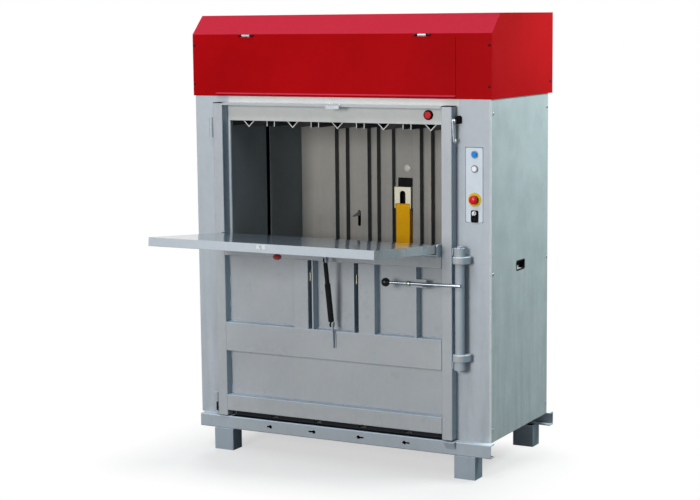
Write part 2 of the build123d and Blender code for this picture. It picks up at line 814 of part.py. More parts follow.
pump_length = 90.0
pump_radius = 48.0
shaft_z = body_top + 115.0
with BuildPart() as pump:
    with BuildSketch(side(tank_left + tank_width + seam)):
        with Locations((unit_y, shaft_z)):
            Circle(pump_radius)
    extrude(amount=pump_length * 0.7)
    with BuildSketch(side(tank_left + tank_width + seam + pump_length * 0.7)):
        with Locations((unit_y, shaft_z)):
            Circle(pump_radius + 20)
    extrude(amount=pump_length * 0.3)
motor_left = tank_left + tank_width + pump_length + 2 * seam
motor_length = 260.0
motor_radius = 78.0
motor_foot_in = 50.0
motor_foot_half = 60.0
bell_length = 50.0
fin_count = 24
with BuildPart() as electric_motor:
    with BuildSketch(side(motor_left)):
        with Locations((unit_y, shaft_z)):
            Circle(motor_radius)
            with PolarLocations(motor_radius + 4, fin_count):
                Rectangle(14, 3)
    extrude(amount=motor_length)
    with BuildSketch(side(motor_left + motor_length)):
        with Locations((unit_y, shaft_z)):
            Circle(motor_radius + 8)
    extrude(amount=bell_length)
    foot_left = motor_left + motor_foot_in
    foot_right = motor_left + motor_length - motor_foot_in
    foot_high = shaft_z - body_top - motor_foot_half
    add(slab(level(body_top), foot_left, foot_right, unit_y - motor_foot_half, unit_y + motor_foot_half,
             foot_high))
hand_in(together(electric_motor.part, pump.part), "motor_pump")

valve_left = tank_left + 150.0
valve_width = 140.0
valve_front = unit_y - 70.0
valve_depth = 90.0
valve_height = 70.0
coil_z = body_top + tank_height + 40.0
coil_in = 35.0
coil_radius = 20.0
coil_length = 60.0
with BuildPart() as valve_block:
    valve_right = valve_left + valve_width
    valve_back = valve_front + valve_depth
    add(slab(level(body_top + tank_height + wall_plate), valve_left, valve_right, valve_front, valve_back,
             valve_height))
    chamfer(valve_block.edges().filter_by(Axis.Z), 3)
    with BuildSketch(upright(valve_front)):
        with Locations((valve_left + coil_in, coil_z), (valve_right - coil_in - 5, coil_z)):
            Circle(coil_radius)
    extrude(amount=coil_length)
hand_in(valve_block.part, "valve_block")

# Cylinders: tubes in the columns and rods that pull the ram's arms down
cylinder_axis_y = slot_y
tube_bottom = beam_top + beam_wall


def cylinder_tube():
    """Left tube: closed foot, bore and gland."""
    with BuildPart() as tube:
        with BuildSketch(level(tube_bottom)):
            with Locations((cylinder_x, cylinder_axis_y)):
                Circle(cylinder_radius)
        extrude(amount=cylinder_top - tube_bottom)
        with BuildSketch(level(tube_bottom + 20)):
            with Locations((cylinder_x, cylinder_axis_y)):
                Circle(cylinder_bore)
        extrude(amount=cylinder_top - tube_bottom - 20 - gland_height, mode=Mode.SUBTRACT)
        with BuildSketch(level(cylinder_top - gland_height)):
            with Locations((cylinder_x, cylinder_axis_y)):
                Circle(rod_radius + rod_fit)
        extrude(amount=gland_height, mode=Mode.SUBTRACT)
        chamfer(tube.edges().filter_by(GeomType.CIRCLE).group_by(Axis.Z)[-1].sort_by(SortBy.RADIUS)[-1], 3)
    return tube.part


hand_in(both_sides(cylinder_tube()), "cylinder_tubes")

piston_bottom = cylinder_top - gland_height - piston_height - 5


def cylinder_rod():
    """Left rod with its piston, up to the ram's arm."""
    with BuildPart() as rod:
        with BuildSketch(level(piston_bottom)):
            with Locations((cylinder_x, cylinder_axis_y)):
                Circle(cylinder_bore - rod_fit)
        extrude(amount=piston_height)
        with BuildSketch(level(piston_bottom + piston_height)):
            with Locations((cylinder_x, cylinder_axis_y)):
                Circle(rod_radius)
        extrude(amount=arm_bottom - piston_bottom - piston_height)
    return rod.part


hand_in(both_sides(cylinder_rod()), "cylinder_rods")

# Ram: platen with its ridges, strap guides and arms
platen_left = chamber_left + platen_gap
platen_back = chamber_back - platen_gap
with BuildPart() as platen:
    add(slab(level(platen_bottom), platen_left, mirror_left - platen_left, platen_front, platen_back,
             platen_height))
    with BuildSketch(level(platen_bottom + platen_plate)):
        with Locations((mid_x, (platen_front + platen_back) / 2)):
            Rectangle(mirror_left - 2 * platen_left - 2 * platen_wall,
                      platen_back - platen_front - 2 * platen_wall)
    extrude(amount=platen_height, mode=Mode.SUBTRACT)
    for edge_x in (platen_left, mirror_left - platen_left - guide_wall):
        add(slab(level(platen_bottom - guide_drop), edge_x, edge_x + guide_wall, platen_front, platen_back,
                 guide_drop))
hand_in(platen.part, "platen")

with BuildPart() as platen_ridges:
    with BuildSketch(upright(platen_front)):
        for ridge_x in ridge_places:
            with BuildLine():
                Polyline((ridge_x - ridge_drop, platen_bottom), (ridge_x, platen_bottom - ridge_drop),
                         (ridge_x + ridge_drop, platen_bottom), (ridge_x + ridge_drop - 1.4 * ridge_wall,
                                                                 platen_bottom),
                         (ridge_x, platen_bottom - ridge_drop + 1.4 * ridge_wall),
                         (ridge_x - ridge_drop + 1.4 * ridge_wall, platen_bottom),
                         (ridge_x - ridge_drop, platen_bottom))
            make_face()
    extrude(amount=-(platen_back - platen_front))
with BuildPart() as strap_guides:
    with BuildSketch(upright(platen_front)):
        for guide_x in strap_places:
            for edge in (-1, 1):
                with Locations((guide_x + edge * (strap_width - guide_wall) / 2,
                                platen_bottom - guide_drop / 2)):
                    Rectangle(guide_wall, guide_drop)
    extrude(amount=-(platen_back - platen_front))
hand_in(together(platen_ridges.part, strap_guides.part), "platen_ribs")


def ram_arm():
    """Left arm, from the platen through the wall's slot to the cylinder rod."""
    with BuildPart() as arm:
        with BuildSketch(upright(cylinder_axis_y - arm_width / 2)):
            with BuildLine():
                Polyline((platen_left - seam, arm_bottom), (cylinder_x - cylinder_radius + 8, arm_bottom),
                         (cylinder_x - cylinder_radius + 8, arm_bottom + arm_height * 0.7),
                         (cylinder_x, arm_bottom + arm_height), (platen_left - seam, arm_bottom + arm_height),
                         (platen_left - seam, arm_bottom))
            make_face()
        extrude(amount=-arm_width)
    return arm.part


hand_in(both_sides(ram_arm()), "ram_arms")


# Door frame: box stiles, rails and top bar round a skin
def box_rail(low, high):
    """Rail of box section between the stiles, its face flush with theirs."""
    with BuildPart() as rail:
        with BuildSketch(side(door_left + stile_width + seam)):
            with Locations((stile_front + stile_depth / 2 - skin_thickness / 2, (low + high) / 2)):
                RectangleRounded(stile_depth - skin_thickness, high - low, rail_wall)
                Rectangle(stile_depth - skin_thickness - 2 * rail_wall, high - low - 2 * rail_wall,
                          mode=Mode.SUBTRACT)
        extrude(amount=door_right - door_left - 2 * stile_width - 2 * seam)
    return rail.part


def stile(left):
    """Upright box section of the door."""
    with BuildPart() as post:
        with BuildSketch(level(door_bottom + cap_thickness)):
            with Locations((left + stile_width / 2, stile_front + stile_depth / 2)):
                RectangleRounded(stile_width, stile_depth, stile_radius)
                RectangleRounded(stile_width - 2 * stile_wall, stile_depth - 2 * stile_wall, 1.5,
                                 mode=Mode.SUBTRACT)
        extrude(amount=door_top - door_bottom - 2 * cap_thickness)
    return post.part


hand_in(together(stile(door_left), stile(door_right - stile_width)), "door_stiles")

with BuildPart() as stile_caps:
    for cap_z in (door_bottom, door_top - cap_thickness):
        with BuildSketch(level(cap_z)):
            with Locations((door_left + stile_width / 2, stile_front + stile_depth / 2),
                           (door_right - stile_width / 2, stile_front + stile_depth / 2)):
                RectangleRounded(stile_width, stile_depth, stile_radius)
        extrude(amount=cap_thickness)
hand_in(stile_caps.part, "stile_caps")

upper_rail = box_rail(upper_rail_bottom, upper_rail_top)
middle_rail = box_rail(middle_rail_bottom, middle_rail_top)
bottom_rail = box_rail(bottom_rail_bottom, bottom_rail_top)

rail_left = door_left + stile_width + seam
rail_right = door_right - stile_width - seam
with BuildPart() as top_bar:
    add(slab(upright(stile_front + stile_depth), rail_left, rail_right, door_top - top_bar_height,
             door_top, stile_depth))
hand_in(together(upper_rail, middle_rail, bottom_rail, top_bar.part), "door_rails")

# Door skin behind the rails, slotted for the straps between the upper rails
mouth_places = (strap_places[1] - 4.4, strap_places[2] + 1.2)
with BuildPart() as door_skin:
    add(slab(upright(-door_gap), rail_left, rail_right, bottom_rail_bottom, upper_rail_top, skin_thickness))
    with BuildSketch(upright(0)):
        for mouth_x in mouth_places:
            with Locations((mouth_x, (middle_rail_top + upper_rail_bottom) / 2)):
                Rectangle(door_slot_width, upper_rail_bottom - middle_rail_top)
    extrude(amount=skin_thickness + 4, mode=Mode.SUBTRACT)
hand_in(door_skin.part, "door_skin")

# Strap posts: folded channels flush with the rails, and ribs beside the strap mouths
skin_front = -door_gap - skin_thickness
post_depth = skin_front - stile_front
left_post_x = mouth_places[0] - mouth_width / 2 - left_post_width
right_post_x = mouth_places[1] + mouth_width / 2
post_places = ((left_post_x, left_post_width), (right_post_x, right_post_width))
rib_places = (
    (mouth_places[0] + mouth_width / 2, rib_width),
    (mouth_places[1] - mouth_width / 2 - rib_width, rib_width),
    (plain_rib_left, plain_rib_width),
)
with BuildPart() as strap_posts:
    with BuildSketch(level(middle_rail_top)):
        for post_x, width in post_places:
            with Locations((post_x + width / 2, skin_front - post_depth / 2)):
                Rectangle(width, post_depth)
            with Locations((post_x + width / 2, skin_front - post_depth / 2 + post_wall)):
                Rectangle(width - 2 * post_wall, post_depth, mode=Mode.SUBTRACT)
    extrude(amount=upper_rail_bottom - middle_rail_top)
    fillet(strap_posts.edges().filter_by(Axis.Z).group_by(Axis.Y)[0], post_wall - 1)
with BuildPart() as door_ribs:
    with BuildSketch(level(middle_rail_top)):
        for rib_x, width in rib_places:
            with Locations((rib_x + width / 2, skin_front - post_depth / 2)):
                Rectangle(width, post_depth)
    extrude(amount=upper_rail_bottom - middle_rail_top)
hand_in(together(strap_posts.part, door_ribs.part), "strap_posts")

# Strap hooks: bent rods in the strap mouths
hook_z = 848.0
hook_wire = 3.0
hook_out = skin_front - post_depth + 6
with BuildPart() as strap_hooks:
    for mouth_x in mouth_places:
        with BuildLine(side(mouth_x)) as path:
            Polyline((skin_front - 4, hook_z - 24), (hook_out, hook_z - 24), (hook_out, hook_z + 12),
                     (hook_out + 12, hook_z + 24))
        with BuildSketch(Plane(path.line @ 0, z_dir=path.line % 0)):
            Circle(hook_wire)
        sweep(path=path.line, transition=Transition.ROUND)
        with BuildSketch(upright(skin_front)):
            with Locations((mouth_x, hook_z - 24)):
                Rectangle(door_slot_width + 1.4, 16)
        extrude(amount=4)
hand_in(strap_hooks.part, "strap_hooks")

# Door hinges: lower halves with their pins on the front plate, upper halves on the stile
with BuildPart() as frame_hinges:
    for low in hinge_levels:
        with BuildSketch(level(low)):
            with Locations((hinge_axis_x, hinge_axis_y)):
                Circle(hinge_radius)
            with Locations((hinge_axis_x - hinge_leaf / 2, hinge_axis_y / 2)):
                Rectangle(hinge_leaf, -hinge_axis_y)
        extrude(amount=hinge_height / 2 - seam)
        with BuildSketch(level(low)):
            with Locations((hinge_axis_x, hinge_axis_y)):
                Circle(hinge_pin_radius)
        extrude(amount=hinge_height - 3)
hand_in(frame_hinges.part, "frame_hinges")

with BuildPart() as door_hinges:
    for low in hinge_levels:
        with BuildSketch(level(low + hinge_height / 2)):
            with Locations((hinge_axis_x, hinge_axis_y)):
                Circle(hinge_radius)
            with Locations(((hinge_axis_x + door_left) / 2, hinge_axis_y)):
                Rectangle(door_left - hinge_axis_x, hinge_leaf)
        extrude(amount=hinge_height / 2)
        with BuildSketch(level(low + hinge_height / 2)):
            with Locations((hinge_axis_x, hinge_axis_y)):
                Circle(hinge_pin_radius + hinge_pin_fit)
        extrude(amount=hinge_height / 2 - 2.5, mode=Mode.SUBTRACT)
hand_in(door_hinges.part, "door_hinges")

# Lever holder on the plain rib: back plate and shelf under the lever
holder_left = plain_rib_left
holder_width = 60.0
holder_reach = 38.0
shelf = 5.0
lever_y = lock_y - lock_radius - lever_radius - seam
lever_slope = (lever_end_y - lever_y) / (lever_end_x - lock_x)
shelf_top = lever_z - lever_radius - seam
rib_front = stile_front
with BuildPart() as lever_holder:
    add(slab(upright(rib_front), holder_left, holder_left + holder_width, shelf_top - 14, shelf_top + 22,
             shelf))
    add(slab(level(shelf_top - shelf), holder_left, holder_left + holder_width,
             rib_front - shelf - holder_reach, rib_front, shelf))
    fillet(lever_holder.edges().filter_by(Axis.Z).group_by(Axis.Y)[0], 8)
hand_in(lever_holder.part, "lever_holder")

# Strike plate under the top bar, where the flap's bolt enters
strike_left = mid_x - 16.0
strike_width = 68.0
strike_lip = 14.0
strike_thickness = 7.0
strike_depth = 40.0
strike_front = stile_front - 26.0
with BuildPart() as strike_plate:
    strike_low = door_top - top_bar_height - strike_thickness
    strike_right = strike_left + strike_width
    add(slab(level(strike_low), strike_left, strike_right, strike_front, stile_front + 14, strike_thickness))
    add(slab(upright(strike_front + 3), strike_left, strike_right, strike_low, strike_low + strike_lip, 3))
    with BuildSketch(level(strike_low - 1)):
        with Locations((mid_x, flap_pivot_y + bolt_height)):
            Circle(bolt_radius + 1.5)
    extrude(amount=strike_thickness + 2, mode=Mode.SUBTRACT)
    with BuildSketch(level(door_top)):
        with Locations((strike_left + 6, stile_front + 10), (strike_left + 54, stile_front + 10)):
            Circle(5)
    extrude(amount=3)
hand_in(strike_plate.part, "strike_plate")

# Flap lugs on the stiles' inner faces, each with its pin
def flap_lug():
    """Left lug: rounded plate with a pin toward the flap."""
    with BuildPart() as lug:
        with BuildSketch(side(door_left + stile_width)):
            with Locations((flap_pivot_y, (lug_bottom + lug_top) / 2)):
                RectangleRounded(lug_depth, lug_top - lug_bottom, 8)
            with Locations(((flap_pivot_y + stile_front) / 2 + 6, (lug_bottom + lug_top) / 2)):
                Rectangle(stile_front - flap_pivot_y + 12, lug_top - lug_bottom - 16)
        extrude(amount=lug_thickness)
        with BuildSketch(side(door_left + stile_width)):
            with Locations((flap_pivot_y, flap_pivot_z)):
                Circle(flap_pin_radius)
        extrude(amount=lug_thickness + 12)
    return lug.part


door_centre = (door_left + door_right) / 2
door_plane = side(door_centre)
left_lug = flap_lug()
hand_in(together(left_lug, mirror(left_lug, about=door_plane)), "flap_lugs")

# Flap: a tray of one sheet, its edges folded down, turning on two pins
with BuildPart() as flap:
    with BuildSketch(flapwise(flap_left)):
        with BuildLine():
            Polyline((flap_heel, flap_face), (flap_tip, flap_face), (flap_tip, flap_low),
                     (flap_heel + 10, flap_low),
                     (flap_heel, flap_low + 10), (flap_heel, flap_face))
        make_face()
    extrude(amount=-(flap_right - flap_left))
    with BuildSketch(flapwise(flap_left + flap_sheet)):
        with BuildLine():
            Polyline((flap_heel - 1, flap_face - flap_sheet), (flap_tip - flap_sheet, flap_face - flap_sheet),
                     (flap_tip - flap_sheet, flap_low - 1), (flap_heel - 1, flap_low - 1),
                     (flap_heel - 1, flap_face - flap_sheet))
        make_face()
    extrude(amount=-(flap_right - flap_left - 2 * flap_sheet), mode=Mode.SUBTRACT)
    with BuildSketch(flapwise(flap_left - 1)):
        Circle(flap_pin_radius + flap_pin_fit)
    extrude(amount=-(flap_right - flap_left + 2), mode=Mode.SUBTRACT)
    fillet(flap.edges().filter_by(Axis.X).group_by(Axis.Y)[0].sort_by(Axis.Z)[-1:], 2)

# Bracket for the strut's head, welded under the flap
bracket_plate = 5.0
bracket_x = strut_x + strut_eye_width / 2 + strut_gap
with BuildPart() as strut_bracket:
    with BuildSketch(flapwise(bracket_x)):
        with BuildLine():
            Polyline((strut_head_along - 24, flap_face - flap_sheet),
                     (strut_head_along + 40, flap_face - flap_sheet),
                     (strut_head_along + 13, strut_head_below), (strut_head_along - 13, strut_head_below),
                     (strut_head_along - 24, flap_face - flap_sheet))
        make_face()
        with Locations((strut_head_along, strut_head_below)):
            Circle(13)
    extrude(amount=-bracket_plate)

# Guides of the latch bolt under the flap, and its escutcheon on the front flange
guide_width = 34.0
guide_length = 26.0
guide_alongs = (latch_knob_along + 12, flap_tip - flap_sheet - seam - guide_length)


def across_flap(along):
    """Plane square to the flap at a distance from its pivot: X to the right, Y off its face, normal outward."""
    outward = (0, -cos(tilt), sin(tilt))
    foot = Plane((body_left + mid_x, body_front + flap_pivot_y, flap_pivot_z), x_dir=(1, 0, 0), z_dir=outward)
    return foot.offset(along)


guide_low = bolt_height - bolt_radius - 4
guide_high = flap_face - flap_sheet
with BuildPart() as bolt_guides:
    for guide_along in guide_alongs:
        with BuildSketch(across_flap(guide_along)):
            with Locations((0, (guide_low + guide_high) / 2)):
                Rectangle(guide_width, guide_high - guide_low)
            with Locations((0, bolt_height)):
                Circle(bolt_radius + bolt_fit, mode=Mode.SUBTRACT)
        extrude(amount=guide_length)
    with BuildSketch(across_flap(flap_tip)):
        with Locations((0, bolt_height)):
            Rectangle(guide_width + 10, escutcheon_height)
            Circle(bolt_radius + bolt_fit, mode=Mode.SUBTRACT)
    extrude(amount=escutcheon)
hand_in(together(strut_bracket.part, bolt_guides.part), "flap_brackets")

# The flange is pierced for the bolt
with BuildPart() as pierced_flap:
    add(flap.part)
    with BuildSketch(across_flap(flap_tip - flap_sheet - 1)):
        with Locations((0, bolt_height)):
            Circle(bolt_radius + bolt_fit)
    extrude(amount=flap_sheet + 2, mode=Mode.SUBTRACT)
hand_in(pierced_flap.part, "flap")

# Latch bolt with the stem of its knob
stem_radius = 5.0
with BuildPart() as latch_bolt:
    with BuildSketch(across_flap(flap_tip - bolt_length)):
        with Locations((0, bolt_height)):
            Circle(bolt_radius)
    extrude(amount=bolt_length)
    chamfer(latch_bolt.edges().filter_by(GeomType.CIRCLE).sort_by(Axis.Y)[0], 1.5)
    knob_foot = flapwise(mid_x)
    with BuildSketch(Plane(knob_foot.from_local_coords((latch_knob_along, bolt_height, 0)), x_dir=(1, 0, 0),
                           z_dir=-knob_foot.y_dir)):
        Circle(stem_radius)
    extrude(amount=bolt_height - latch_knob_below - 8)
hand_in(latch_bolt.part, "latch_bolt")

# Knob of the latch: a turned mushroom under the flap
with BuildPart() as latch_knob:
    with BuildSketch(flapwise(mid_x)):
        with BuildLine():
            Polyline((latch_knob_along, latch_knob_below + 12), (latch_knob_along + 8, latch_knob_below + 12),
                     (latch_knob_along + latch_knob_radius, latch_knob_below + 2),
                     (latch_knob_along + latch_knob_radius - 2, latch_knob_below - 8),
                     (latch_knob_along + 9, latch_knob_below - 13), (latch_knob_along, latch_knob_below - 13),
                     (latch_knob_along, latch_knob_below + 12))
        make_face()
        with Locations((latch_knob_along, (bolt_height + latch_knob_below - 8) / 2 + 4)):
            Rectangle(2 * (stem_radius + bolt_fit), bolt_height - latch_knob_below, mode=Mode.SUBTRACT)
    revolve(axis=Axis(knob_foot.from_local_coords((latch_knob_along, 0, 0)), knob_foot.y_dir))
hand_in(latch_knob.part, "latch_knob")

# Rubber buffer under the flap, against the upper rail's hooks when the flap is up
buffer_x = flap_right - 62.5
buffer_along = 208.0
with BuildPart() as flap_buffer:
    foot = flapwise(buffer_x)
    with BuildSketch(Plane(foot.from_local_coords((buffer_along, flap_face - flap_sheet, 0)), x_dir=(1, 0, 0),
                           z_dir=-foot.y_dir)):
        Circle(14)
    extrude(amount=26, taper=6)
hand_in(flap_buffer.part, "flap_buffer")

# Strut link on the middle rail: a plate with a bolt, and the pin of the strut's foot
link_width = 26.0
link_thickness = 6.0
link_bolt_z = 552.6
link_low = link_bolt_z - 22
foot_pin_length = strut_eye_width + strut_gap
link_x = strut_x + strut_eye_width / 2 + strut_gap
with BuildPart() as strut_link:
    with BuildSketch(side(link_x)):
        with BuildLine():
            Polyline((stile_front, link_low), (stile_front, middle_rail_top - 6),
                     (strut_foot_y - 12, strut_foot_z + 4),
                     (strut_foot_y - 12, strut_foot_z - 8), (stile_front - 18, link_low),
                     (stile_front, link_low))
        make_face()
        with Locations((strut_foot_y, strut_foot_z)):
            Circle(12)
    extrude(amount=link_thickness)
    with BuildSketch(side(link_x)):
        with Locations((strut_foot_y, strut_foot_z)):
            Circle(strut_pin_radius)
    extrude(amount=-foot_pin_length - 3)
    add(slab(upright(stile_front), strut_x - link_width / 2, strut_x + link_width / 2 + 4, link_low,
             middle_rail_top - 10, 4))
    with BuildSketch(upright(stile_front - 4)):
        with Locations((strut_x - 3, link_bolt_z)):
            RegularPolygon(8, 6)
    extrude(amount=6)
hand_in(strut_link.part, "strut_link")

# Gas strut: lower shroud with the rod and eye, upper cylinder with its own eye
head_y = flap_pivot_y - strut_head_along * cos(tilt) + strut_head_below * sin(tilt)
head_z = flap_pivot_z + strut_head_along * sin(tilt) + strut_head_below * cos(tilt)
strut_length = hypot(head_y - strut_foot_y, head_z - strut_foot_z)
strut_dir = (0, (head_y - strut_foot_y) / strut_length, (head_z - strut_foot_z) / strut_length)
strut_base = Plane((body_left + strut_x, body_front + strut_foot_y, strut_foot_z), x_dir=(1, 0, 0),
                   z_dir=strut_dir)
strut_rod_length = 225.0
with BuildPart() as strut_shroud:
    with BuildSketch(strut_base.offset(strut_neck)):
        Circle(shroud_radius)
    extrude(amount=shroud_length)
    with BuildSketch(strut_base.offset(strut_neck + 6)):
        Circle(shroud_bore)
    extrude(amount=shroud_length, mode=Mode.SUBTRACT)
    with BuildSketch(strut_base.offset(strut_pin_radius + 2)):
        Circle(strut_rod_radius)
    extrude(amount=strut_rod_length)
    with BuildSketch(side(strut_x - strut_eye_width / 2)):
        with Locations((strut_foot_y, strut_foot_z)):
            Circle(strut_eye_radius + 1.5)
    extrude(amount=strut_eye_width)
    with BuildSketch(side(strut_x - strut_eye_width / 2)):
        with Locations((strut_foot_y, strut_foot_z)):
            Circle(strut_pin_radius + bolt_fit)
    extrude(amount=strut_eye_width, mode=Mode.SUBTRACT)
hand_in(strut_shroud.part, "strut_shroud")

strut_cylinder_length = 250.0
with BuildPart() as strut_cylinder:
    with BuildSketch(strut_base.offset(strut_length - strut_neck - strut_cylinder_length)):
        Circle(strut_radius)
    extrude(amount=strut_cylinder_length)
    with BuildSketch(strut_base.offset(strut_length - strut_neck - strut_cylinder_length)):
        Circle(strut_rod_radius + bolt_fit)
    extrude(amount=strut_rod_length, mode=Mode.SUBTRACT)
    with BuildSketch(strut_base.offset(strut_length - strut_neck - 2)):
        Circle(strut_rod_radius)
    extrude(amount=strut_neck - strut_pin_radius)
    with BuildSketch(side(strut_x - strut_eye_width / 2)):
        with Locations((head_y, head_z)):
            Circle(strut_eye_radius + 1.5)
    extrude(amount=strut_eye_width)
hand_in(strut_cylinder.part, "strut_cylinder")

# Lock: brackets on the column, a turning tube with claws, and keepers on the stile
bracket_tail_x = lock_x + 22.0
bracket_tail_y = -22.0


def lock_bracket(low):
    """Bracket from the column round the tube's journal."""
    with BuildPart() as bracket:
        with BuildSketch(level(low)):
            with Locations((lock_x, lock_y)):
                Circle(31)
            with Locations((bracket_tail_x, bracket_tail_y)):
                Circle(-bracket_tail_y)
            with Locations(((lock_x + bracket_tail_x) / 2 - 6, -8)):
                Rectangle(44, 16)
            make_hull()
            with Locations((lock_x, lock_y)):
                Circle(lock_journal + lock_fit, mode=Mode.SUBTRACT)
        extrude(amount=bracket_height)
        outer = bracket.edges().filter_by(lambda edge: edge.center().Z < level(low + 0.01).origin.Z
                                          or edge.center().Z > level(low + bracket_height - 0.01).origin.Z)
        fillet(outer.filter_by(lambda edge: edge.center().Y < body_front + lock_y - lock_journal),
               bracket_round)
    return bracket.part


hand_in(together(lock_bracket(lock_high + seam), lock_bracket(lock_low - bracket_height - seam)),
        "lock_brackets")

claw_gap = 3.5
keeper_depth = 4.0
claw_tip_x = door_right + keeper_depth + claw_gap
claw_low_z = lock_low - bracket_height - claw_height - 2 * seam
claw_high_z = lock_high + bracket_height + 2 * seam
with BuildPart() as lock_tube:
    with BuildSketch(level(lock_low)):
        with Locations((lock_x, lock_y)):
            Circle(lock_radius)
    extrude(amount=lock_high - lock_low)
    with BuildSketch(level(claw_low_z)):
        with Locations((lock_x, lock_y)):
            Circle(lock_journal)
    extrude(amount=claw_high_z + claw_height - claw_low_z)
    for claw_z in (claw_low_z, claw_high_z):
        with BuildSketch(level(claw_z)):
            with Locations((lock_x, lock_y)):
                Circle(claw_radius)
            with Locations(((lock_x + claw_tip_x) / 2, lock_y + 2)):
                Rectangle(lock_x - claw_tip_x, 14)
        extrude(amount=claw_height)
    for bolt_low in (claw_low_z - 9, claw_high_z + claw_height):
        with BuildSketch(level(bolt_low)):
            with Locations((lock_x, lock_y)):
                RegularPolygon(13, 6)
        extrude(amount=9)
hand_in(lock_tube.part, "lock_tube")

keeper_height = 30.0
with BuildPart() as lock_keepers:
    for claw_z in (claw_low_z, claw_high_z):
        keeper_mid = claw_z + claw_height / 2
        with BuildSketch(side(door_right)):
            with Locations((lock_y + 8, keeper_mid)):
                RectangleRounded(26, keeper_height, 4)
        extrude(amount=keeper_depth)
hand_in(lock_keepers.part, "lock_keepers")

# Lever welded on the tube's front, and its ball
lever_tail = 14.0
lever_length = hypot(lock_x - lever_end_x, lever_end_y - lever_y)
lever_dir = ((lever_end_x - lock_x) / lever_length, (lever_end_y - lever_y) / lever_length, 0)
lever_base = Plane((body_left + lock_x, body_front + lever_y, lever_z), x_dir=(0, 0, 1), z_dir=lever_dir)
with BuildPart() as lock_lever:
    with BuildSketch(lever_base.offset(-lever_tail)):
        Circle(lever_radius)
    extrude(amount=lever_length + lever_tail + knob_radius / 2)
    with BuildSketch(level(lever_z - lever_radius)):
        with Locations((lock_x, lock_y - lock_radius - 2)):
            Rectangle(24, 4)
        with Locations((lock_x, lock_y)):
            Circle(lock_radius, mode=Mode.SUBTRACT)
    extrude(amount=2 * lever_radius)
hand_in(lock_lever.part, "lock_lever")

knob_centre = lever_base.offset(lever_length + knob_radius * 0.6).origin
with BuildPart() as lever_knob:
    with BuildSketch(Plane(knob_centre, x_dir=lever_dir, z_dir=(0, 0, 1))):
        with BuildLine():
            Line((-knob_radius, 0), (knob_radius, 0))
            CenterArc((0, 0), knob_radius, 0, 180)
        make_face()
        with Locations((-knob_radius / 2, 0)):
            Rectangle(knob_radius * 0.8 + bolt_fit, 2 * (lever_radius + bolt_fit), mode=Mode.SUBTRACT)
        with Locations((-knob_radius, 0)):
            Rectangle(knob_radius * 0.8, 2 * (lever_radius + bolt_fit), mode=Mode.SUBTRACT)
    revolve(axis=Axis(knob_centre, lever_dir))
hand_in(lever_knob.part, "lever_knob")

# Door switch: a link bolted on the lock stile and the switch head on the column
link_top_z = 1550.0
link_foot_z = 1465.0
link_top_y = -36.0
link_foot_y = -27.0
with BuildPart() as interlock_link:
    with BuildSketch(side(door_right)):
        with Locations((link_top_y, link_top_z), (link_foot_y, link_foot_z)):
            Circle(12)
        make_hull()
    extrude(amount=5)
    with BuildSketch(side(door_right + 5)):
        with Locations((link_top_y, link_top_z), (link_foot_y, link_foot_z)):
            RegularPolygon(9, 6)
    extrude(amount=6)
hand_in(interlock_link.part, "interlock_link")

switch_x = door_right + 14.0
switch_z = 1554.0
switch_width = 22.0
switch_height = 34.0
with BuildPart() as interlock_switch:
    with BuildSketch(upright(0)):
        with Locations((switch_x, switch_z)):
            RectangleRounded(switch_width, switch_height, 8)
    extrude(amount=18)
    fillet(interlock_switch.edges().group_by(Axis.Y)[0], 5)
hand_in(interlock_switch.part, "interlock_switch")

# Control panel with its buttons, emergency stop and selector
panel_face = -panel_thickness
stem_holes = (blue_z, white_z)
with BuildPart() as control_panel:
    with BuildSketch(upright(0)):
        with Locations((panel_x, panel_z)):
            RectangleRounded(panel_width, panel_height, 6)
    extrude(amount=panel_thickness)
    chamfer(control_panel.faces().sort_by(Axis.Y)[0].edges(), 0.8)
    with BuildSketch(upright(0)):
        with Locations((button_x, estop_z)):
            Circle(estop_stem_radius + cap_fit)
    extrude(amount=panel_thickness, mode=Mode.SUBTRACT)
hand_in(control_panel.part, "control_panel")

with BuildPart() as button_rings:
    with BuildSketch(upright(panel_face)):
        for ring_z in stem_holes:
            with Locations((button_x, ring_z)):
                Circle(button_ring)
                Circle(button_cap + cap_fit, mode=Mode.SUBTRACT)
    extrude(amount=button_ring_depth)
    chamfer(button_rings.edges().filter_by(GeomType.CIRCLE).group_by(Axis.Y)[0], 0.8)
hand_in(button_rings.part, "button_rings")


def push_cap(x, z, back, radius, proud):
    """Button cap in its ring, with room behind it for its travel."""
    with BuildPart() as cap:
        with BuildSketch(upright(back - button_travel - seam)):
            with Locations((x, z)):
                Circle(radius)
        extrude(amount=proud)
        fillet(cap.edges().filter_by(GeomType.CIRCLE).group_by(Axis.Y)[0], 1.2)
    return cap.part


hand_in(push_cap(button_x, blue_z, panel_face, button_cap, 4.5), "blue_button")
hand_in(push_cap(button_x, white_z, panel_face, button_cap, 4.5), "white_button")

with BuildPart() as estop_ring:
    with BuildSketch(upright(panel_face)):
        with Locations((button_x, estop_z)):
            Circle(estop_ring_radius)
            Circle(estop_stem_radius + cap_fit, mode=Mode.SUBTRACT)
    extrude(amount=3)
    chamfer(estop_ring.edges().filter_by(GeomType.CIRCLE).group_by(Axis.Y)[0].sort_by(SortBy.RADIUS)[-1], 1)
hand_in(estop_ring.part, "estop_ring")

estop_face = panel_face - 3 - estop_travel - 4
with BuildPart() as estop_head:
    with BuildSketch(upright(0)):
        with Locations((button_x, estop_z)):
            Circle(estop_stem_radius)
    extrude(amount=-estop_face + 1)
    with BuildSketch(upright(estop_face)):
        with Locations((button_x, estop_z)):
            Circle(estop_head_radius)
    extrude(amount=estop_head_depth)
    fillet(estop_head.edges().filter_by(GeomType.CIRCLE).group_by(Axis.Y)[0], 5)
hand_in(estop_head.part, "estop_head")

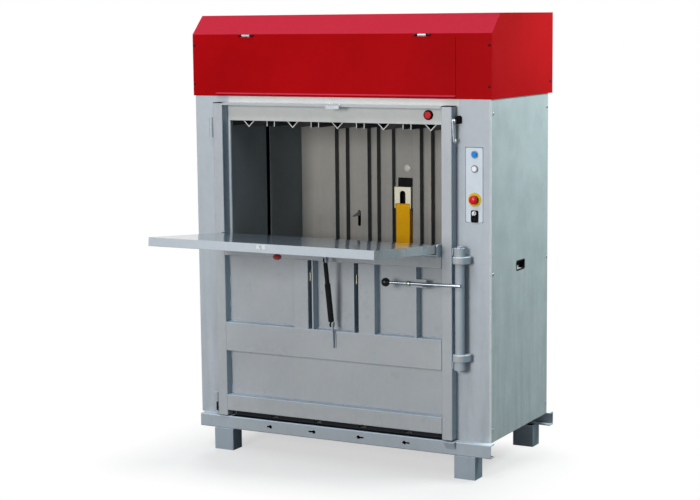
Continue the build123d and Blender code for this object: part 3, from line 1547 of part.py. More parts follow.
plate_depth = 3.0
header_depth = 6.0
with BuildPart() as black_bezels:
    with BuildSketch(upright(panel_face)):
        with Locations((button_x, selector_plate_z)):
            RectangleRounded(selector_width, selector_height, 7)
    extrude(amount=plate_depth)
    with BuildSketch(upright(0)):
        with Locations((header_x, header_z)):
            Circle(header_ring)
            Circle(header_cap + cap_fit, mode=Mode.SUBTRACT)
    extrude(amount=header_depth)
hand_in(black_bezels.part, "black_bezels")
hand_in(push_cap(header_x, header_z, 0, header_cap, 8), "header_button")

with BuildPart() as selector:
    with BuildSketch(upright(panel_face - plate_depth - seam)):
        with Locations((button_x, selector_z)):
            Circle(selector_radius)
    extrude(amount=7)
    with BuildSketch(upright(panel_face - plate_depth - seam - 7)):
        with Locations((button_x, selector_z)):
            SlotOverall(2 * selector_radius - 2, 6, rotation=60)
    extrude(amount=8)
hand_in(selector.part, "selector")
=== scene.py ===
"""Looks of the recycling baler: the finishes of its pieces, its webbing sling, weld seams and small fittings.

Lengths are in metres in the machine's own frame, whose origin lies on the floor under the middle of the
machine with its loading flap down. Places on the machine are in millimetres, as at() takes them.
"""
import logging
import math
from dataclasses import dataclass, field, replace
from enum import Enum
from functools import cache, partial

import bmesh
import bpy
from mathutils import Euler, Matrix, Vector


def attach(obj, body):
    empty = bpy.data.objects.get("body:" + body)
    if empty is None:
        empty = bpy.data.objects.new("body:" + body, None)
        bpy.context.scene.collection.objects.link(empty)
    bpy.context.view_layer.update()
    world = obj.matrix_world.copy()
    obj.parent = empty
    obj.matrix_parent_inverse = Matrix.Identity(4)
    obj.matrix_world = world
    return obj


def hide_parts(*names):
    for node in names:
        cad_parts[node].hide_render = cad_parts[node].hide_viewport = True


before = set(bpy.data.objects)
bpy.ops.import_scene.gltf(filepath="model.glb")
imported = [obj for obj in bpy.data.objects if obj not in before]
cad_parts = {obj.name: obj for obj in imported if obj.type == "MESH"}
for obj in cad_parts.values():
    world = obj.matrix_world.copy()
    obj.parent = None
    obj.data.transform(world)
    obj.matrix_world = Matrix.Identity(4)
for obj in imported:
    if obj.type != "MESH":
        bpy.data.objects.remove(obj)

log = logging.getLogger("baler")

Socket = bpy.types.NodeSocket
Shape = bmesh.types.BMesh
Point = tuple[float, float, float]
Tone = tuple[int, int, int]
Profile = tuple[tuple[float, float], ...]

NODES: dict[str, bpy.types.Object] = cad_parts
BODY_LEFT = -0.7435
BODY_FRONT = -0.010852
MM_IN_METRE = 1000.0


def at(x: float, y: float, z: float) -> Vector:
    """A point given in millimetres from the body's left face, its front plate and the floor."""
    return Vector((BODY_LEFT + x / MM_IN_METRE, BODY_FRONT + y / MM_IN_METRE, z / MM_IN_METRE))


def linear(red: int, green: int, blue: int) -> tuple[float, ...]:
    """A screen colour, each channel from 0 to 255, as the linear colour that a shader takes."""
    channels = []
    for value in (red, green, blue):
        share = value / 255.0
        channels.append(share / 12.92 if share <= 0.04045 else ((share + 0.055) / 1.055) ** 2.4)
    return (*channels, 1.0)


# Shader groups


@dataclass(frozen=True)
class Cloud:
    """Noise spread into a mask: from low to high it gives out_low to out_high."""

    scale: float
    detail: float
    roughness: float
    low: float
    high: float
    out_low: float = 0.0
    out_high: float = 1.0


class Wire:
    """Places nodes in a tree and links them."""

    def __init__(self, tree: bpy.types.NodeTree) -> None:
        """Keeps the tree that the nodes are placed in."""
        self.tree = tree

    def node(self, kind: str, **settings: object) -> bpy.types.Node:
        """A new node of a Blender type, with attributes set on it."""
        made = self.tree.nodes.new(kind)
        for name, value in settings.items():
            setattr(made, name, value)
        return made

    def feed(self, target: Socket, value: object) -> None:
        """Links an output to an input, or sets the input to a number or colour."""
        if isinstance(value, Socket):
            self.tree.links.new(value, target)
        else:
            target.default_value = value

    def math(self, operation: str, first: object, second: object = 0.0, clamp: bool = False) -> Socket:
        """A Math node.

        Args:
            operation: Its operation.
            first: A socket or number.
            second: A socket or number.
            clamp: Whether the result is kept from 0 to 1.

        Returns:
            The result's socket.
        """
        made = self.node("ShaderNodeMath", operation=operation, use_clamp=clamp)
        self.feed(made.inputs[0], first)
        self.feed(made.inputs[1], second)
        return made.outputs[0]

    def times(self, first: object, second: object, clamp: bool = False) -> Socket:
        """The product of two sockets or numbers."""
        return self.math("MULTIPLY", first, second, clamp)

    def plus(self, first: object, second: object, clamp: bool = False) -> Socket:
        """The sum of two sockets or numbers."""
        return self.math("ADD", first, second, clamp)

    def spread(self, value: Socket, low: object, high: object, out_low: object = 0.0,
               out_high: object = 1.0) -> Socket:
        """A Map Range node that ends at its limits.

        Args:
            value: The socket to spread.
            low: The value that gives out_low.
            high: The value that gives out_high.
            out_low: The result at low.
            out_high: The result at high.

        Returns:
            The result's socket.
        """
        made = self.node("ShaderNodeMapRange", clamp=True)
        limits = {"Value": value, "From Min": low, "From Max": high, "To Min": out_low, "To Max": out_high}
        for name, item in limits.items():
            self.feed(made.inputs[name], item)
        return made.outputs["Result"]

    def noise(self, vector: Socket, scale: object, detail: float, roughness: float) -> Socket:
        """A Noise Texture's factor over some coordinates."""
        made = self.node("ShaderNodeTexNoise")
        settings = {"Vector": vector, "Scale": scale, "Detail": detail, "Roughness": roughness}
        for name, item in settings.items():
            self.feed(made.inputs[name], item)
        return made.outputs["Fac"]

    def cloud(self, vector: Socket, kind: Cloud, scale: Socket | None = None) -> Socket:
        """A cloud's mask over some coordinates, with the scale of a socket if one is given."""
        noise = self.noise(vector, kind.scale if scale is None else scale, kind.detail, kind.roughness)
        return self.spread(noise, kind.low, kind.high, kind.out_low, kind.out_high)

    def mix(self, factor: Socket, first: Socket, second: Socket) -> Socket:
        """The colour between two others, by the share of the second."""
        made = self.node("ShaderNodeMix", data_type="RGBA")
        for index, value in ((0, factor), (6, first), (7, second)):
            self.feed(made.inputs[index], value)
        return made.outputs[2]

    def brightened(self, colour: Socket, value: Socket) -> Socket:
        """A colour with its brightness multiplied by a value."""
        made = self.node("ShaderNodeHueSaturation")
        self.feed(made.inputs["Value"], value)
        self.feed(made.inputs["Color"], colour)
        return made.outputs["Color"]

    def place(self) -> Socket:
        """The coordinates in the machine's frame, which move with the piece."""
        return self.node("ShaderNodeTexCoord").outputs["Object"]

    def normal(self) -> bpy.types.NodeOutputs:
        """The X, Y and Z of the direction that the surface faces."""
        return self.split(self.node("ShaderNodeNewGeometry").outputs["Normal"])

    def split(self, vector: Socket) -> bpy.types.NodeOutputs:
        """The X, Y and Z of a vector."""
        made = self.node("ShaderNodeSeparateXYZ")
        self.feed(made.inputs[0], vector)
        return made.outputs

    def stretched(self, vector: Socket, scale: Point) -> Socket:
        """Coordinates scaled along each axis."""
        made = self.node("ShaderNodeMapping")
        self.feed(made.inputs["Scale"], scale)
        self.feed(made.inputs["Vector"], vector)
        return made.outputs["Vector"]

    def within(self, place: Socket, low: Vector, high: Vector) -> Socket:
        """A mask that is 1 inside a box and 0 outside it.

        Args:
            place: The coordinates.
            low: The box's low corner.
            high: Its high corner.

        Returns:
            The mask's socket.
        """
        parts = self.split(place)
        mask = None
        for index in range(3):
            for operation, limit in (("GREATER_THAN", low[index]), ("LESS_THAN", high[index])):
                inside = self.math(operation, parts[index], limit)
                mask = inside if mask is None else self.times(mask, inside)
        return mask

    def blend(self, factor: Socket, first: bpy.types.Node, second: bpy.types.Node) -> bpy.types.Node:
        """The shader between two others, by the share of the second."""
        made = self.node("ShaderNodeMixShader")
        for index, value in enumerate((factor, first.outputs[0], second.outputs[0])):
            self.feed(made.inputs[index], value)
        return made

    def finish(self, kind: str, shader: bpy.types.Node) -> None:
        """Links a shader to a new output node of a kind."""
        self.feed(self.node(kind).inputs["Surface"], shader.outputs[0])


def emptied(owner: bpy.types.Material | bpy.types.World) -> Wire:
    """A helper for the tree of a material or world, emptied first."""
    owner.use_nodes = True
    owner.node_tree.nodes.clear()
    return Wire(owner.node_tree)


SURFACE_OUTPUTS = {"Colour": "NodeSocketColor", "Roughness": "NodeSocketFloat", "Height": "NodeSocketFloat"}


def open_group(name: str, inputs: dict[str, object]) -> tuple[Wire, bpy.types.NodeOutputs]:
    """A new surface group.

    Args:
        name: The group's name.
        inputs: Default values by name: a number, or a colour of four numbers.

    Returns:
        A helper for the group, and what it is given.
    """
    tree = bpy.data.node_groups.new(name, "ShaderNodeTree")
    for label, value in inputs.items():
        kind = "NodeSocketFloat" if isinstance(value, float) else "NodeSocketColor"
        tree.interface.new_socket(label, in_out="INPUT", socket_type=kind).default_value = value
    for label, kind in SURFACE_OUTPUTS.items():
        tree.interface.new_socket(label, in_out="OUTPUT", socket_type=kind)
    wire = Wire(tree)
    return wire, wire.node("NodeGroupInput").outputs


def close_group(wire: Wire, colour: Socket, roughness: Socket, height: Socket) -> bpy.types.NodeTree:
    """Links a surface group's results to its outputs, and gives the group."""
    results = wire.node("NodeGroupOutput").inputs
    for label, value in zip(SURFACE_OUTPUTS, (colour, roughness, height)):
        wire.feed(results[label], value)
    return wire.tree


# Paint: its clouds, which faces get painted light and painted shade, and how far grime, painted shading and
# marks reach
PATCHES = Cloud(1.6, 4.0, 0.55, 0.35, 0.68)
MOTTLE = Cloud(38.0, 5.0, 0.62, 0.3, 0.75, 0.965, 1.03)
STREAKS = Cloud(1.0, 4.0, 0.6, 0.4, 0.75)
SCUFFED = Cloud(5.0, 3.0, 0.6, 0.58, 0.7)
SPECKS = Cloud(900.0, 1.0, 0.4, 0.7, 0.78)
WEAR = Cloud(11.0, 4.0, 0.6, 0.3, 0.7, -1.0, 1.0)
FACING_UP = (0.35, 0.75)
FACING_SIDEWAYS = (0.6, 0.9)
STREAK_STRETCH = (26.0, 26.0, 2.2)
GRIME_AND_SHADING_BOTTOM = 0.05
SCUFF_STRETCH = (9.0, 9.0, 5.0)
SCUFF_WIDTH = 0.012
SPECK_SHARE = 0.5
GRIME_AND_SHADING_ROUGHNESS = 0.3
MARK_ROUGHNESS = 0.2
SHEET_WAVE = 3.0


def paint_group() -> bpy.types.NodeTree:
    """Sprayed paint on sheet steel: tone patches, mottling, orange peel, specks, painted light and shade by
    facing, low grime and painted shading.
    """
    wire, given = open_group("sprayed_paint", {
        "Paint": (0.4, 0.44, 0.48, 1.0), "Shade": (0.36, 0.38, 0.4, 1.0), "Patch Scale": PATCHES.scale,
        "Patch Strength": 0.5, "Peel Scale": 420.0, "Roughness": 0.35, "Roughness Spread": 0.12,
        "Grime": (0.12, 0.11, 0.1, 1.0), "Grime Amount": 0.0, "Grime Top": 0.5, "Speck Amount": 0.1,
        "Top": (0.5, 0.5, 0.5, 1.0), "Top Amount": 0.0, "Side": (0.5, 0.5, 0.5, 1.0), "Side Amount": 0.0})
    place = wire.place()
    patches = wire.times(wire.cloud(place, PATCHES, given["Patch Scale"]), given["Patch Strength"])
    flat = wire.mix(patches, given["Paint"], given["Shade"])
    # Painted light and shade: faces turned up are painted lighter, as if lit from above, and faces turned
    # sideways painted darker, as shade
    facing = wire.normal()
    upward = wire.times(wire.spread(facing["Z"], *FACING_UP), given["Top Amount"])
    lit = wire.mix(upward, flat, given["Top"])
    sideways = wire.spread(wire.math("ABSOLUTE", facing["X"]), *FACING_SIDEWAYS)
    turned = wire.mix(wire.times(sideways, given["Side Amount"]), lit, given["Side"])
    # Spray mottling a few centimetres wide
    mottled = wire.brightened(turned, wire.cloud(place, MOTTLE))
    # Grime and painted shading that thin out upward, in streaks: dirt in some finishes, painted shade and
    # light toward the bottom in others
    low = wire.spread(wire.split(place)["Z"], given["Grime Top"], GRIME_AND_SHADING_BOTTOM)
    streaks = wire.cloud(wire.stretched(place, STREAK_STRETCH), STREAKS)
    grime = wire.times(wire.times(low, streaks), given["Grime Amount"], clamp=True)
    dirty_and_shaded = wire.mix(grime, mottled, given["Grime"])
    # Specks of dust and small scuffs
    cells = wire.node("ShaderNodeTexVoronoi", feature="DISTANCE_TO_EDGE")
    wire.feed(cells.inputs["Vector"], wire.stretched(place, SCUFF_STRETCH))
    scratches = wire.spread(cells.outputs["Distance"], 0.0, SCUFF_WIDTH, 1.0, 0.0)
    scuffs = wire.times(scratches, wire.cloud(place, SCUFFED))
    marks = wire.plus(scuffs, wire.times(wire.cloud(place, SPECKS), SPECK_SHARE))
    marked = wire.times(marks, given["Speck Amount"], clamp=True)
    worn = wire.times(wire.cloud(place, WEAR), given["Roughness Spread"])
    rough = wire.plus(wire.plus(given["Roughness"], worn), wire.times(grime, GRIME_AND_SHADING_ROUGHNESS))
    peel = wire.noise(place, given["Peel Scale"], 2.0, 0.45)
    wave = wire.times(wire.noise(place, 3.4, 2.0, 0.4), SHEET_WAVE)
    return close_group(wire, wire.mix(marked, dirty_and_shaded, given["Grime"]),
                       wire.plus(rough, wire.times(marked, MARK_ROUGHNESS), clamp=True),
                       wire.plus(peel, wave))


# Metal: its tarnish, brushing and crystals
TARNISH = Cloud(90.0, 5.0, 0.65, 0.42, 0.68)
BRUSH_STRETCH = (40.0, 40.0, 1.5)
CRYSTAL_SCALE = 320.0
FLAKE_GLEAM = 0.35
FLAKE_ROUGHNESS = 0.16
TARNISH_ROUGHNESS = 0.35


def metal_group() -> bpy.types.NodeTree:
    """Bare or plated steel: brushed along one axis, with a spangle of crystals and tarnish."""
    wire, given = open_group("plated_metal", {
        "Metal": (0.6, 0.6, 0.58, 1.0), "Tarnish": (0.3, 0.28, 0.24, 1.0), "Brush": 1.0, "Spangle": 0.3,
        "Tarnish Amount": 0.4, "Roughness": 0.32, "Grain Scale": 60.0})
    place = wire.place()
    lines = wire.noise(wire.stretched(place, BRUSH_STRETCH), given["Grain Scale"], 2.0, 0.5)
    crystals = wire.node("ShaderNodeTexVoronoi", feature="F1")
    wire.feed(crystals.inputs["Scale"], CRYSTAL_SCALE)
    wire.feed(crystals.inputs["Vector"], place)
    shine = wire.node("ShaderNodeSeparateColor")
    wire.feed(shine.inputs[0], crystals.outputs["Color"])
    flake = wire.times(wire.spread(shine.outputs[0], 0.0, 1.0, -0.5, 0.5), given["Spangle"])
    dulled = wire.times(wire.cloud(place, TARNISH), given["Tarnish Amount"], clamp=True)
    colour = wire.mix(dulled, given["Metal"], given["Tarnish"])
    gleam = wire.plus(1.0, wire.times(flake, FLAKE_GLEAM))
    rough = wire.plus(given["Roughness"], wire.times(flake, FLAKE_ROUGHNESS))
    return close_group(wire, wire.brightened(colour, gleam),
                       wire.plus(rough, wire.times(dulled, TARNISH_ROUGHNESS), clamp=True),
                       wire.times(lines, given["Brush"]))


# Plastic: the dust that settles on it and the smears of hands
DUST = Cloud(60.0, 5.0, 0.65, 0.35, 0.7)
SMEARS = Cloud(45.0, 4.0, 0.6, 0.35, 0.65, -1.0, 1.0)
DUST_FACING = (0.1, 0.95)
DUST_EVERYWHERE = 0.25
DUST_ROUGHNESS = 0.4
SMOOTHEST = 0.04


def moulded_group() -> bpy.types.NodeTree:
    """Moulded plastic or rubber: a fine grain, handling sheen and dust settled on top."""
    wire, given = open_group("moulded_plastic", {
        "Plastic": (0.02, 0.02, 0.02, 1.0), "Dust": (0.3, 0.3, 0.3, 1.0), "Dust Amount": 0.12,
        "Grain Scale": 1800.0, "Roughness": 0.4, "Handling": 0.12})
    place = wire.place()
    settled = wire.spread(wire.normal()["Z"], *DUST_FACING)
    cloud = wire.cloud(place, DUST)
    lying = wire.plus(wire.times(settled, cloud), wire.times(cloud, DUST_EVERYWHERE))
    dust = wire.times(lying, given["Dust Amount"], clamp=True)
    smear = wire.times(wire.cloud(place, SMEARS), given["Handling"])
    rough = wire.plus(wire.plus(given["Roughness"], smear), wire.times(dust, DUST_ROUGHNESS))
    return close_group(wire, wire.mix(dust, given["Plastic"], given["Dust"]),
                       wire.math("MAXIMUM", rough, SMOOTHEST, clamp=True),
                       wire.noise(place, given["Grain Scale"], 2.0, 0.6))


# Webbing: its soiling, and the shares of ribs and picks in its relief
SOIL = Cloud(14.0, 4.0, 0.6, 0.45, 0.75)
SOIL_AMOUNT = 0.1
RIB_SHARE = 0.6
PICK_SHARE = 0.4
YARN_FROM = (0.05, 0.6)
HAIR_ROUGHNESS = 0.15


def webbing_group() -> bpy.types.NodeTree:
    """Woven webbing, read from the strip's own UV map: U in widths, V in metres."""
    wire, given = open_group("woven_webbing", {
        "Yarn": (0.62, 0.28, 0.01, 1.0), "Gap": (0.25, 0.1, 0.005, 1.0), "Ribs": 22.0, "Picks": 420.0,
        "Fuzz": 0.3, "Roughness": 0.72})
    uv = wire.split(wire.node("ShaderNodeUVMap").outputs["UV"])
    rib = wire.times(uv["X"], given["Ribs"])
    rib_wave = wire.math("SINE", wire.times(rib, 2.0 * math.pi))
    odd = wire.math("MODULO", wire.math("FLOOR", rib), 2.0)
    pick = wire.plus(wire.times(uv["Y"], given["Picks"]), wire.times(odd, 0.5))
    pick_wave = wire.math("SINE", wire.times(pick, 2.0 * math.pi))
    relief = wire.plus(wire.times(wire.math("ABSOLUTE", rib_wave), RIB_SHARE),
                       wire.times(wire.spread(pick_wave, -1.0, 1.0), PICK_SHARE))
    place = wire.place()
    hairs = wire.noise(place, 1500.0, 3.0, 0.7)
    fuzzy = wire.math("SUBTRACT", relief, wire.times(hairs, given["Fuzz"]), clamp=True)
    woven = wire.mix(wire.spread(fuzzy, *YARN_FROM), given["Gap"], given["Yarn"])
    soiled = wire.times(wire.cloud(place, SOIL), SOIL_AMOUNT)
    return close_group(wire, wire.mix(soiled, woven, given["Gap"]),
                       wire.plus(given["Roughness"], wire.times(hairs, HAIR_ROUGHNESS), clamp=True), relief)


class Surface(Enum):
    """The kinds of surface that a shader group makes."""

    PAINT = "paint"
    METAL = "metal"
    MOULDED = "moulded"
    WOVEN = "woven"


GROUP_MAKERS = {
    Surface.PAINT: paint_group,
    Surface.METAL: metal_group,
    Surface.MOULDED: moulded_group,
    Surface.WOVEN: webbing_group,
}
MATERIALS: dict[str, bpy.types.Material] = {}


@cache
def group_of(surface: Surface) -> bpy.types.NodeTree:
    """The shared shader group of a surface, made when it is first asked for."""
    return GROUP_MAKERS[surface]()


@dataclass(frozen=True)
class Inlay:
    """A place on a piece that has a finish of its own.

    Attributes:
        finish: The finish there.
        low: The low corner of the box round the place, in millimetres as in at().
        high: Its high corner.
    """

    finish: "Finish"
    low: Point
    high: Point


@dataclass(frozen=True)
class Finish:
    """One finish: a surface group with its values, and the constants of its shader.

    Attributes:
        name: The material's name.
        surface: The kind of surface.
        values: Inputs of the surface's group.
        metallic: The shader's metallic value.
        coat: The shader's coat weight.
        coat_roughness: The shader's coat roughness.
        bump: Depth of the surface relief in metres.
        specular: The shader's specular level.
        inlays: Places with a finish of their own.
    """

    name: str
    surface: Surface
    values: dict[str, object] = field(default_factory=dict)
    metallic: float = 0.0
    coat: float = 0.0
    coat_roughness: float = 0.1
    bump: float = 0.00004
    specular: float = 0.5
    inlays: tuple[Inlay, ...] = ()

    def group(self, wire: Wire) -> bpy.types.NodeOutputs:
        """Places the finish's surface group in a material, with its values, and gives its outputs."""
        made = wire.node("ShaderNodeGroup", node_tree=group_of(self.surface))
        for label, value in self.values.items():
            made.inputs[label].default_value = value
        return made.outputs

    def build(self) -> bpy.types.Material:
        """The finish as a material, made when it is first asked for."""
        if self.name in MATERIALS:
            return MATERIALS[self.name]
        made = bpy.data.materials.new("look_" + self.name)
        MATERIALS[self.name] = made
        wire = emptied(made)
        surface = self.group(wire)
        shader = wire.node("ShaderNodeBsdfPrincipled")
        for label, value in (("Metallic", self.metallic), ("Coat Weight", self.coat),
                             ("Coat Roughness", self.coat_roughness), ("Specular IOR Level", self.specular)):
            wire.feed(shader.inputs[label], value)
        colour, rough, height = (surface[name] for name in SURFACE_OUTPUTS)
        for inlay in self.inlays:
            mask = wire.within(wire.place(), at(*inlay.low), at(*inlay.high))
            inner = inlay.finish.group(wire)
            colour = wire.mix(mask, colour, inner["Colour"])
            rough = wire.spread(mask, 0.0, 1.0, rough, inner["Roughness"])
            height = wire.spread(mask, 0.0, 1.0, height, inner["Height"])
            if inlay.finish.metallic != self.metallic:
                metallic = wire.spread(mask, 0.0, 1.0, self.metallic, inlay.finish.metallic)
                wire.feed(shader.inputs["Metallic"], metallic)
        bump = wire.node("ShaderNodeBump")
        wire.feed(bump.inputs["Distance"], self.bump)
        wire.feed(bump.inputs["Strength"], 1.0)
        wire.feed(bump.inputs["Height"], height)
        wire.feed(shader.inputs["Base Color"], colour)
        wire.feed(shader.inputs["Roughness"], rough)
        wire.feed(shader.inputs["Normal"], bump.outputs["Normal"])
        wire.finish("ShaderNodeOutputMaterial", shader)
        return made


TONE_INPUTS = {
    Surface.PAINT: ("Paint", "Shade"), Surface.METAL: ("Metal", "Tarnish"), Surface.MOULDED: ("Plastic",)}
USUAL_FIELDS = {
    Surface.PAINT: {}, Surface.METAL: {"metallic": 1.0, "bump": 0.00002}, Surface.MOULDED: {"bump": 0.00003}}


def finish_of(surface: Surface, name: str, *tones: Tone, **options: object) -> Finish:
    """A finish from screen colours.

    Args:
        surface: The kind of surface.
        name: The material's name.
        tones: Its screen colours: a paint's and its patches', a metal's and its dull places', or a plastic's.
        options: Inputs of the group by name in lower case with underscores, colours as on screen, or fields
            of Finish.

    Returns:
        The finish.
    """
    values: dict[str, object] = {label: linear(*tone) for label, tone in zip(TONE_INPUTS[surface], tones)}
    fields: dict[str, object] = dict(USUAL_FIELDS[surface])
    for key, value in options.items():
        if key in Finish.__dataclass_fields__:
            fields[key] = value
        else:
            values[key.replace("_", " ").title()] = linear(*value) if isinstance(value, tuple) else value
    return Finish(name, surface, values, **fields)


paint = partial(finish_of, Surface.PAINT)
metal = partial(finish_of, Surface.METAL)
moulded = partial(finish_of, Surface.MOULDED)


# Painted light on faces turned up and painted shade on faces turned sideways, given to a paint's Top and Side
PAINTED_TOP_LIGHT = {"top": (240, 249, 255), "top_amount": 1.0}
PAINTED_SIDE_SHADE = {"side": (138, 162, 178), "side_amount": 0.9}
BLACK_PAINT = paint(
    "black_paint", (22, 23, 24), (32, 32, 32), roughness=0.4, patch_scale=12.0, patch_strength=0.4,
    speck_amount=0.2, specular=0.15, grime=(110, 106, 100))
# Painted shadow for the gaps over the base beam and at the chamber floor's front lip
GAP_SHADOW_PAINT = paint(
    "gap_shadow_paint", (32, 36, 42), (24, 27, 32), roughness=0.6, patch_scale=9.0, speck_amount=0.2, specular=0.2)
SHADE_PAINT = paint(
    "shade_paint", (118, 124, 130), (104, 110, 116), roughness=0.6, patch_scale=9.0, speck_amount=0.2)
# Painted shade for holes, slots and recesses: the hinge slots, the beam behind its keyholes, the back wall's
# bay window and keyhole pocket
HOLE_SHADE_PAINT = paint("hole_shade_paint", (8, 8, 9), (13, 13, 14), roughness=0.7, patch_scale=9.0)
LEAF_PAINT = paint("leaf_paint", (92, 97, 98), (74, 78, 80), roughness=0.4, patch_scale=30.0)
# Painted highlight for the front plate's rounded right fold
FOLD_HIGHLIGHT_PAINT = paint("fold_highlight_paint", (214, 221, 226), (206, 213, 219), roughness=0.3)
GLINT_PAINT = paint("glint_paint", (204, 222, 240), (194, 213, 233), roughness=0.4)
# Painted shade under the base beam's lower front edge
UNDER_SHADE_PAINT = paint("under_shade_paint", (86, 95, 110), (76, 85, 99), roughness=0.5)
LIT_PAINT = paint(
    "lit_paint", (200, 203, 201), (192, 195, 193), roughness=0.4, specular=0.35, speck_amount=0.12)
PLUG_PLASTIC = moulded("plug_plastic", (214, 216, 210), dust_amount=0.15)
ZINC = metal("zinc_plate", (205, 200, 178), (150, 138, 104), roughness=0.34, spangle=0.7, tarnish_amount=0.35)
BLUE_ZINC = metal(
    "blue_zinc", (200, 207, 212), (140, 143, 142), roughness=0.3, spangle=0.5, tarnish_amount=0.25,
    metallic=0.6)
BODY_PAINT = paint(
    "body_paint", (182, 189, 197), (172, 179, 187), roughness=0.42, coat=0.05, specular=0.35,
    patch_strength=0.6, grime_amount=0.12, speck_amount=0.12)
PANEL_PAINT = paint(
    "panel_paint", (206, 216, 226), (198, 209, 219), roughness=0.4, specular=0.35, patch_scale=6.0,
    speck_amount=0.12)
# Front plate: darker toward the bottom as painted shade, with a painted highlight on the right fold, painted
# light on the header band, a painted shade outline round the control panel and a painted shadow over the base
# beam
FRONT_PAINT = paint(
    "front_paint", (182, 189, 197), (170, 177, 185), roughness=0.42, coat=0.05, specular=0.35,
    patch_strength=0.7, grime=(124, 131, 139), grime_amount=0.45, grime_top=1.5, speck_amount=0.12, inlays=(
        Inlay(FOLD_HIGHLIGHT_PAINT, (1472.5, -1, 0), (1480, 11, 1700)),
        Inlay(LIT_PAINT, (180, -1, 1440), (1330, 11, 1640)),
        Inlay(SHADE_PAINT, (1359.5, -1, 1116.5), (1443, 1, 1439.6)),
        Inlay(GAP_SHADOW_PAINT, (172, -1, 159), (1300, 11, 190)),
    ))
# Side panels: darker toward the bottom as painted shade
SIDE_PAINT = paint(
    "side_panel_paint", (172, 186, 189), (160, 174, 177), roughness=0.46, coat=0.05, specular=0.4,
    patch_scale=7.0, patch_strength=0.9, grime=(116, 132, 136), grime_amount=0.5, grime_top=1.3,
    peel_scale=260.0, bump=0.00007)
FRAME_PAINT = paint(
    "frame_paint", (178, 183, 188), (168, 173, 179), roughness=0.36, coat=0.1, specular=0.4, patch_scale=3.0,
    grime_amount=0.12, speck_amount=0.18, **PAINTED_TOP_LIGHT, **PAINTED_SIDE_SHADE)
# Door frame paint with painted shade in the hinges' slots
HINGE_PAINT = replace(
    FRAME_PAINT, name="hinge_paint", inlays=(
        Inlay(HOLE_SHADE_PAINT, (105.5, -41, 181), (112.5, -30, 221)),
        Inlay(HOLE_SHADE_PAINT, (109.5, -41, 265), (115.5, -30, 272)),
    ))
# Base frame: painted light on faces turned up, a painted shadow on the beam's top face, painted shade inside
# the beam, a painted highlight on its top edge and painted shade under its lower edge
BASE_PAINT = paint(
    "base_paint", (173, 182, 191), (161, 171, 182), roughness=0.4, specular=0.05, patch_scale=4.0,
    grime_amount=0.14, grime_top=0.2, speck_amount=0.18, **PAINTED_TOP_LIGHT, inlays=(
        Inlay(GAP_SHADOW_PAINT, (185, -39.5, 158.5), (1262, 3, 161)),
        Inlay(HOLE_SHADE_PAINT, (10, -35.5, 104.9), (1490, 6, 155.1)),
        Inlay(GLINT_PAINT, (0, -41.5, 155.8), (1500, -36.8, 161)),
        Inlay(UNDER_SHADE_PAINT, (0, -41.5, 99), (1500, -39.9, 103.2)),
    ))
RAIL_PAINT = replace(
    FRAME_PAINT, name="rail_paint", inlays=(
        Inlay(GLINT_PAINT, (170, -51.5, 602.8), (1275, -0.5, 606)),
        Inlay(GLINT_PAINT, (170, -51.5, 262), (1275, -0.5, 265)),
    ))
# Feet: painted light on faces turned up and painted shade on their sides
FOOT_PAINT = paint(
    "foot_paint", (158, 170, 182), (147, 159, 171), roughness=0.42, specular=0.3, patch_scale=4.0,
    grime_amount=0.14, grime_top=0.2, speck_amount=0.18, **PAINTED_TOP_LIGHT, side=(112, 134, 148), side_amount=0.9)
# Chamber paint: painted shade on faces turned sideways, and a darker blue tone toward the bottom as painted
# shade
WALL_PAINT = paint(
    "chamber_paint", (176, 174, 168), (160, 158, 154), roughness=0.38, specular=0.15, patch_scale=2.6,
    patch_strength=0.8, grime=(112, 122, 136), grime_amount=0.7, grime_top=1.5, speck_amount=0.2,
    side=(84, 91, 96), side_amount=0.9)
# Chamber side walls: a darker, bluer copy of the chamber paint as painted shade, with a lighter blue tone
# toward the bottom as painted light
CHEEK_SHADE_PAINT = paint(
    "chamber_cheek_shade_paint", (142, 154, 160), (128, 138, 143), roughness=0.4, specular=0.2, patch_scale=2.6,
    patch_strength=0.8, grime=(150, 172, 188), grime_amount=0.5, grime_top=1.4, speck_amount=0.2)
# Chamber paint with a painted shadow on the floor's front lip
FLOOR_PAINT = replace(
    WALL_PAINT, name="chamber_floor_paint", inlays=(Inlay(GAP_SHADOW_PAINT, (0, -1, 150), (1500, 6.6, 176.5)),))
# Chamber paint with painted shade in the bay window, the bay below it and the keyhole pocket
BACK_PAINT = replace(
    WALL_PAINT, name="back_wall_paint", inlays=(
        Inlay(HOLE_SHADE_PAINT, (699, 684.2, 1185), (779, 691, 1229)),
        Inlay(HOLE_SHADE_PAINT, (698, 683.9, 1084), (780, 691, 1186)),
        Inlay(HOLE_SHADE_PAINT, (488, 652, 974.5), (524.6, 683.5, 1079.5)),
        Inlay(LEAF_PAINT, (460, 640, 1000), (512, 649.9, 1100)),
        Inlay(PLUG_PLASTIC, (732, 675, 1255), (772, 683.9, 1294)),
    ))
# Painted highlight on the hatch's bent-out lip
LIP_HIGHLIGHT_RED = paint("lip_highlight_red", (206, 62, 84), (200, 54, 76), roughness=0.34, speck_amount=0.06)
# Hood red, with faces turned up painted lighter pink as painted light
HOOD_PAINT = paint(
    "hood_paint", (176, 13, 19), (152, 9, 14), roughness=0.34, roughness_spread=0.04, patch_scale=1.2,
    patch_strength=0.8, speck_amount=0.06, peel_scale=300.0, specular=0.01, bump=0.00005, top=(206, 50, 70),
    top_amount=1.0)
HATCH_PAINT = replace(
    HOOD_PAINT, name="hatch_paint", inlays=(Inlay(LIP_HIGHLIGHT_RED, (100, -20, 1650), (1330, 0, 1656.5)),))
# Painted shade on the flap's right end face
FLAP_END_SHADE = paint("flap_end_shade", (144, 155, 160), (134, 145, 151), roughness=0.3)
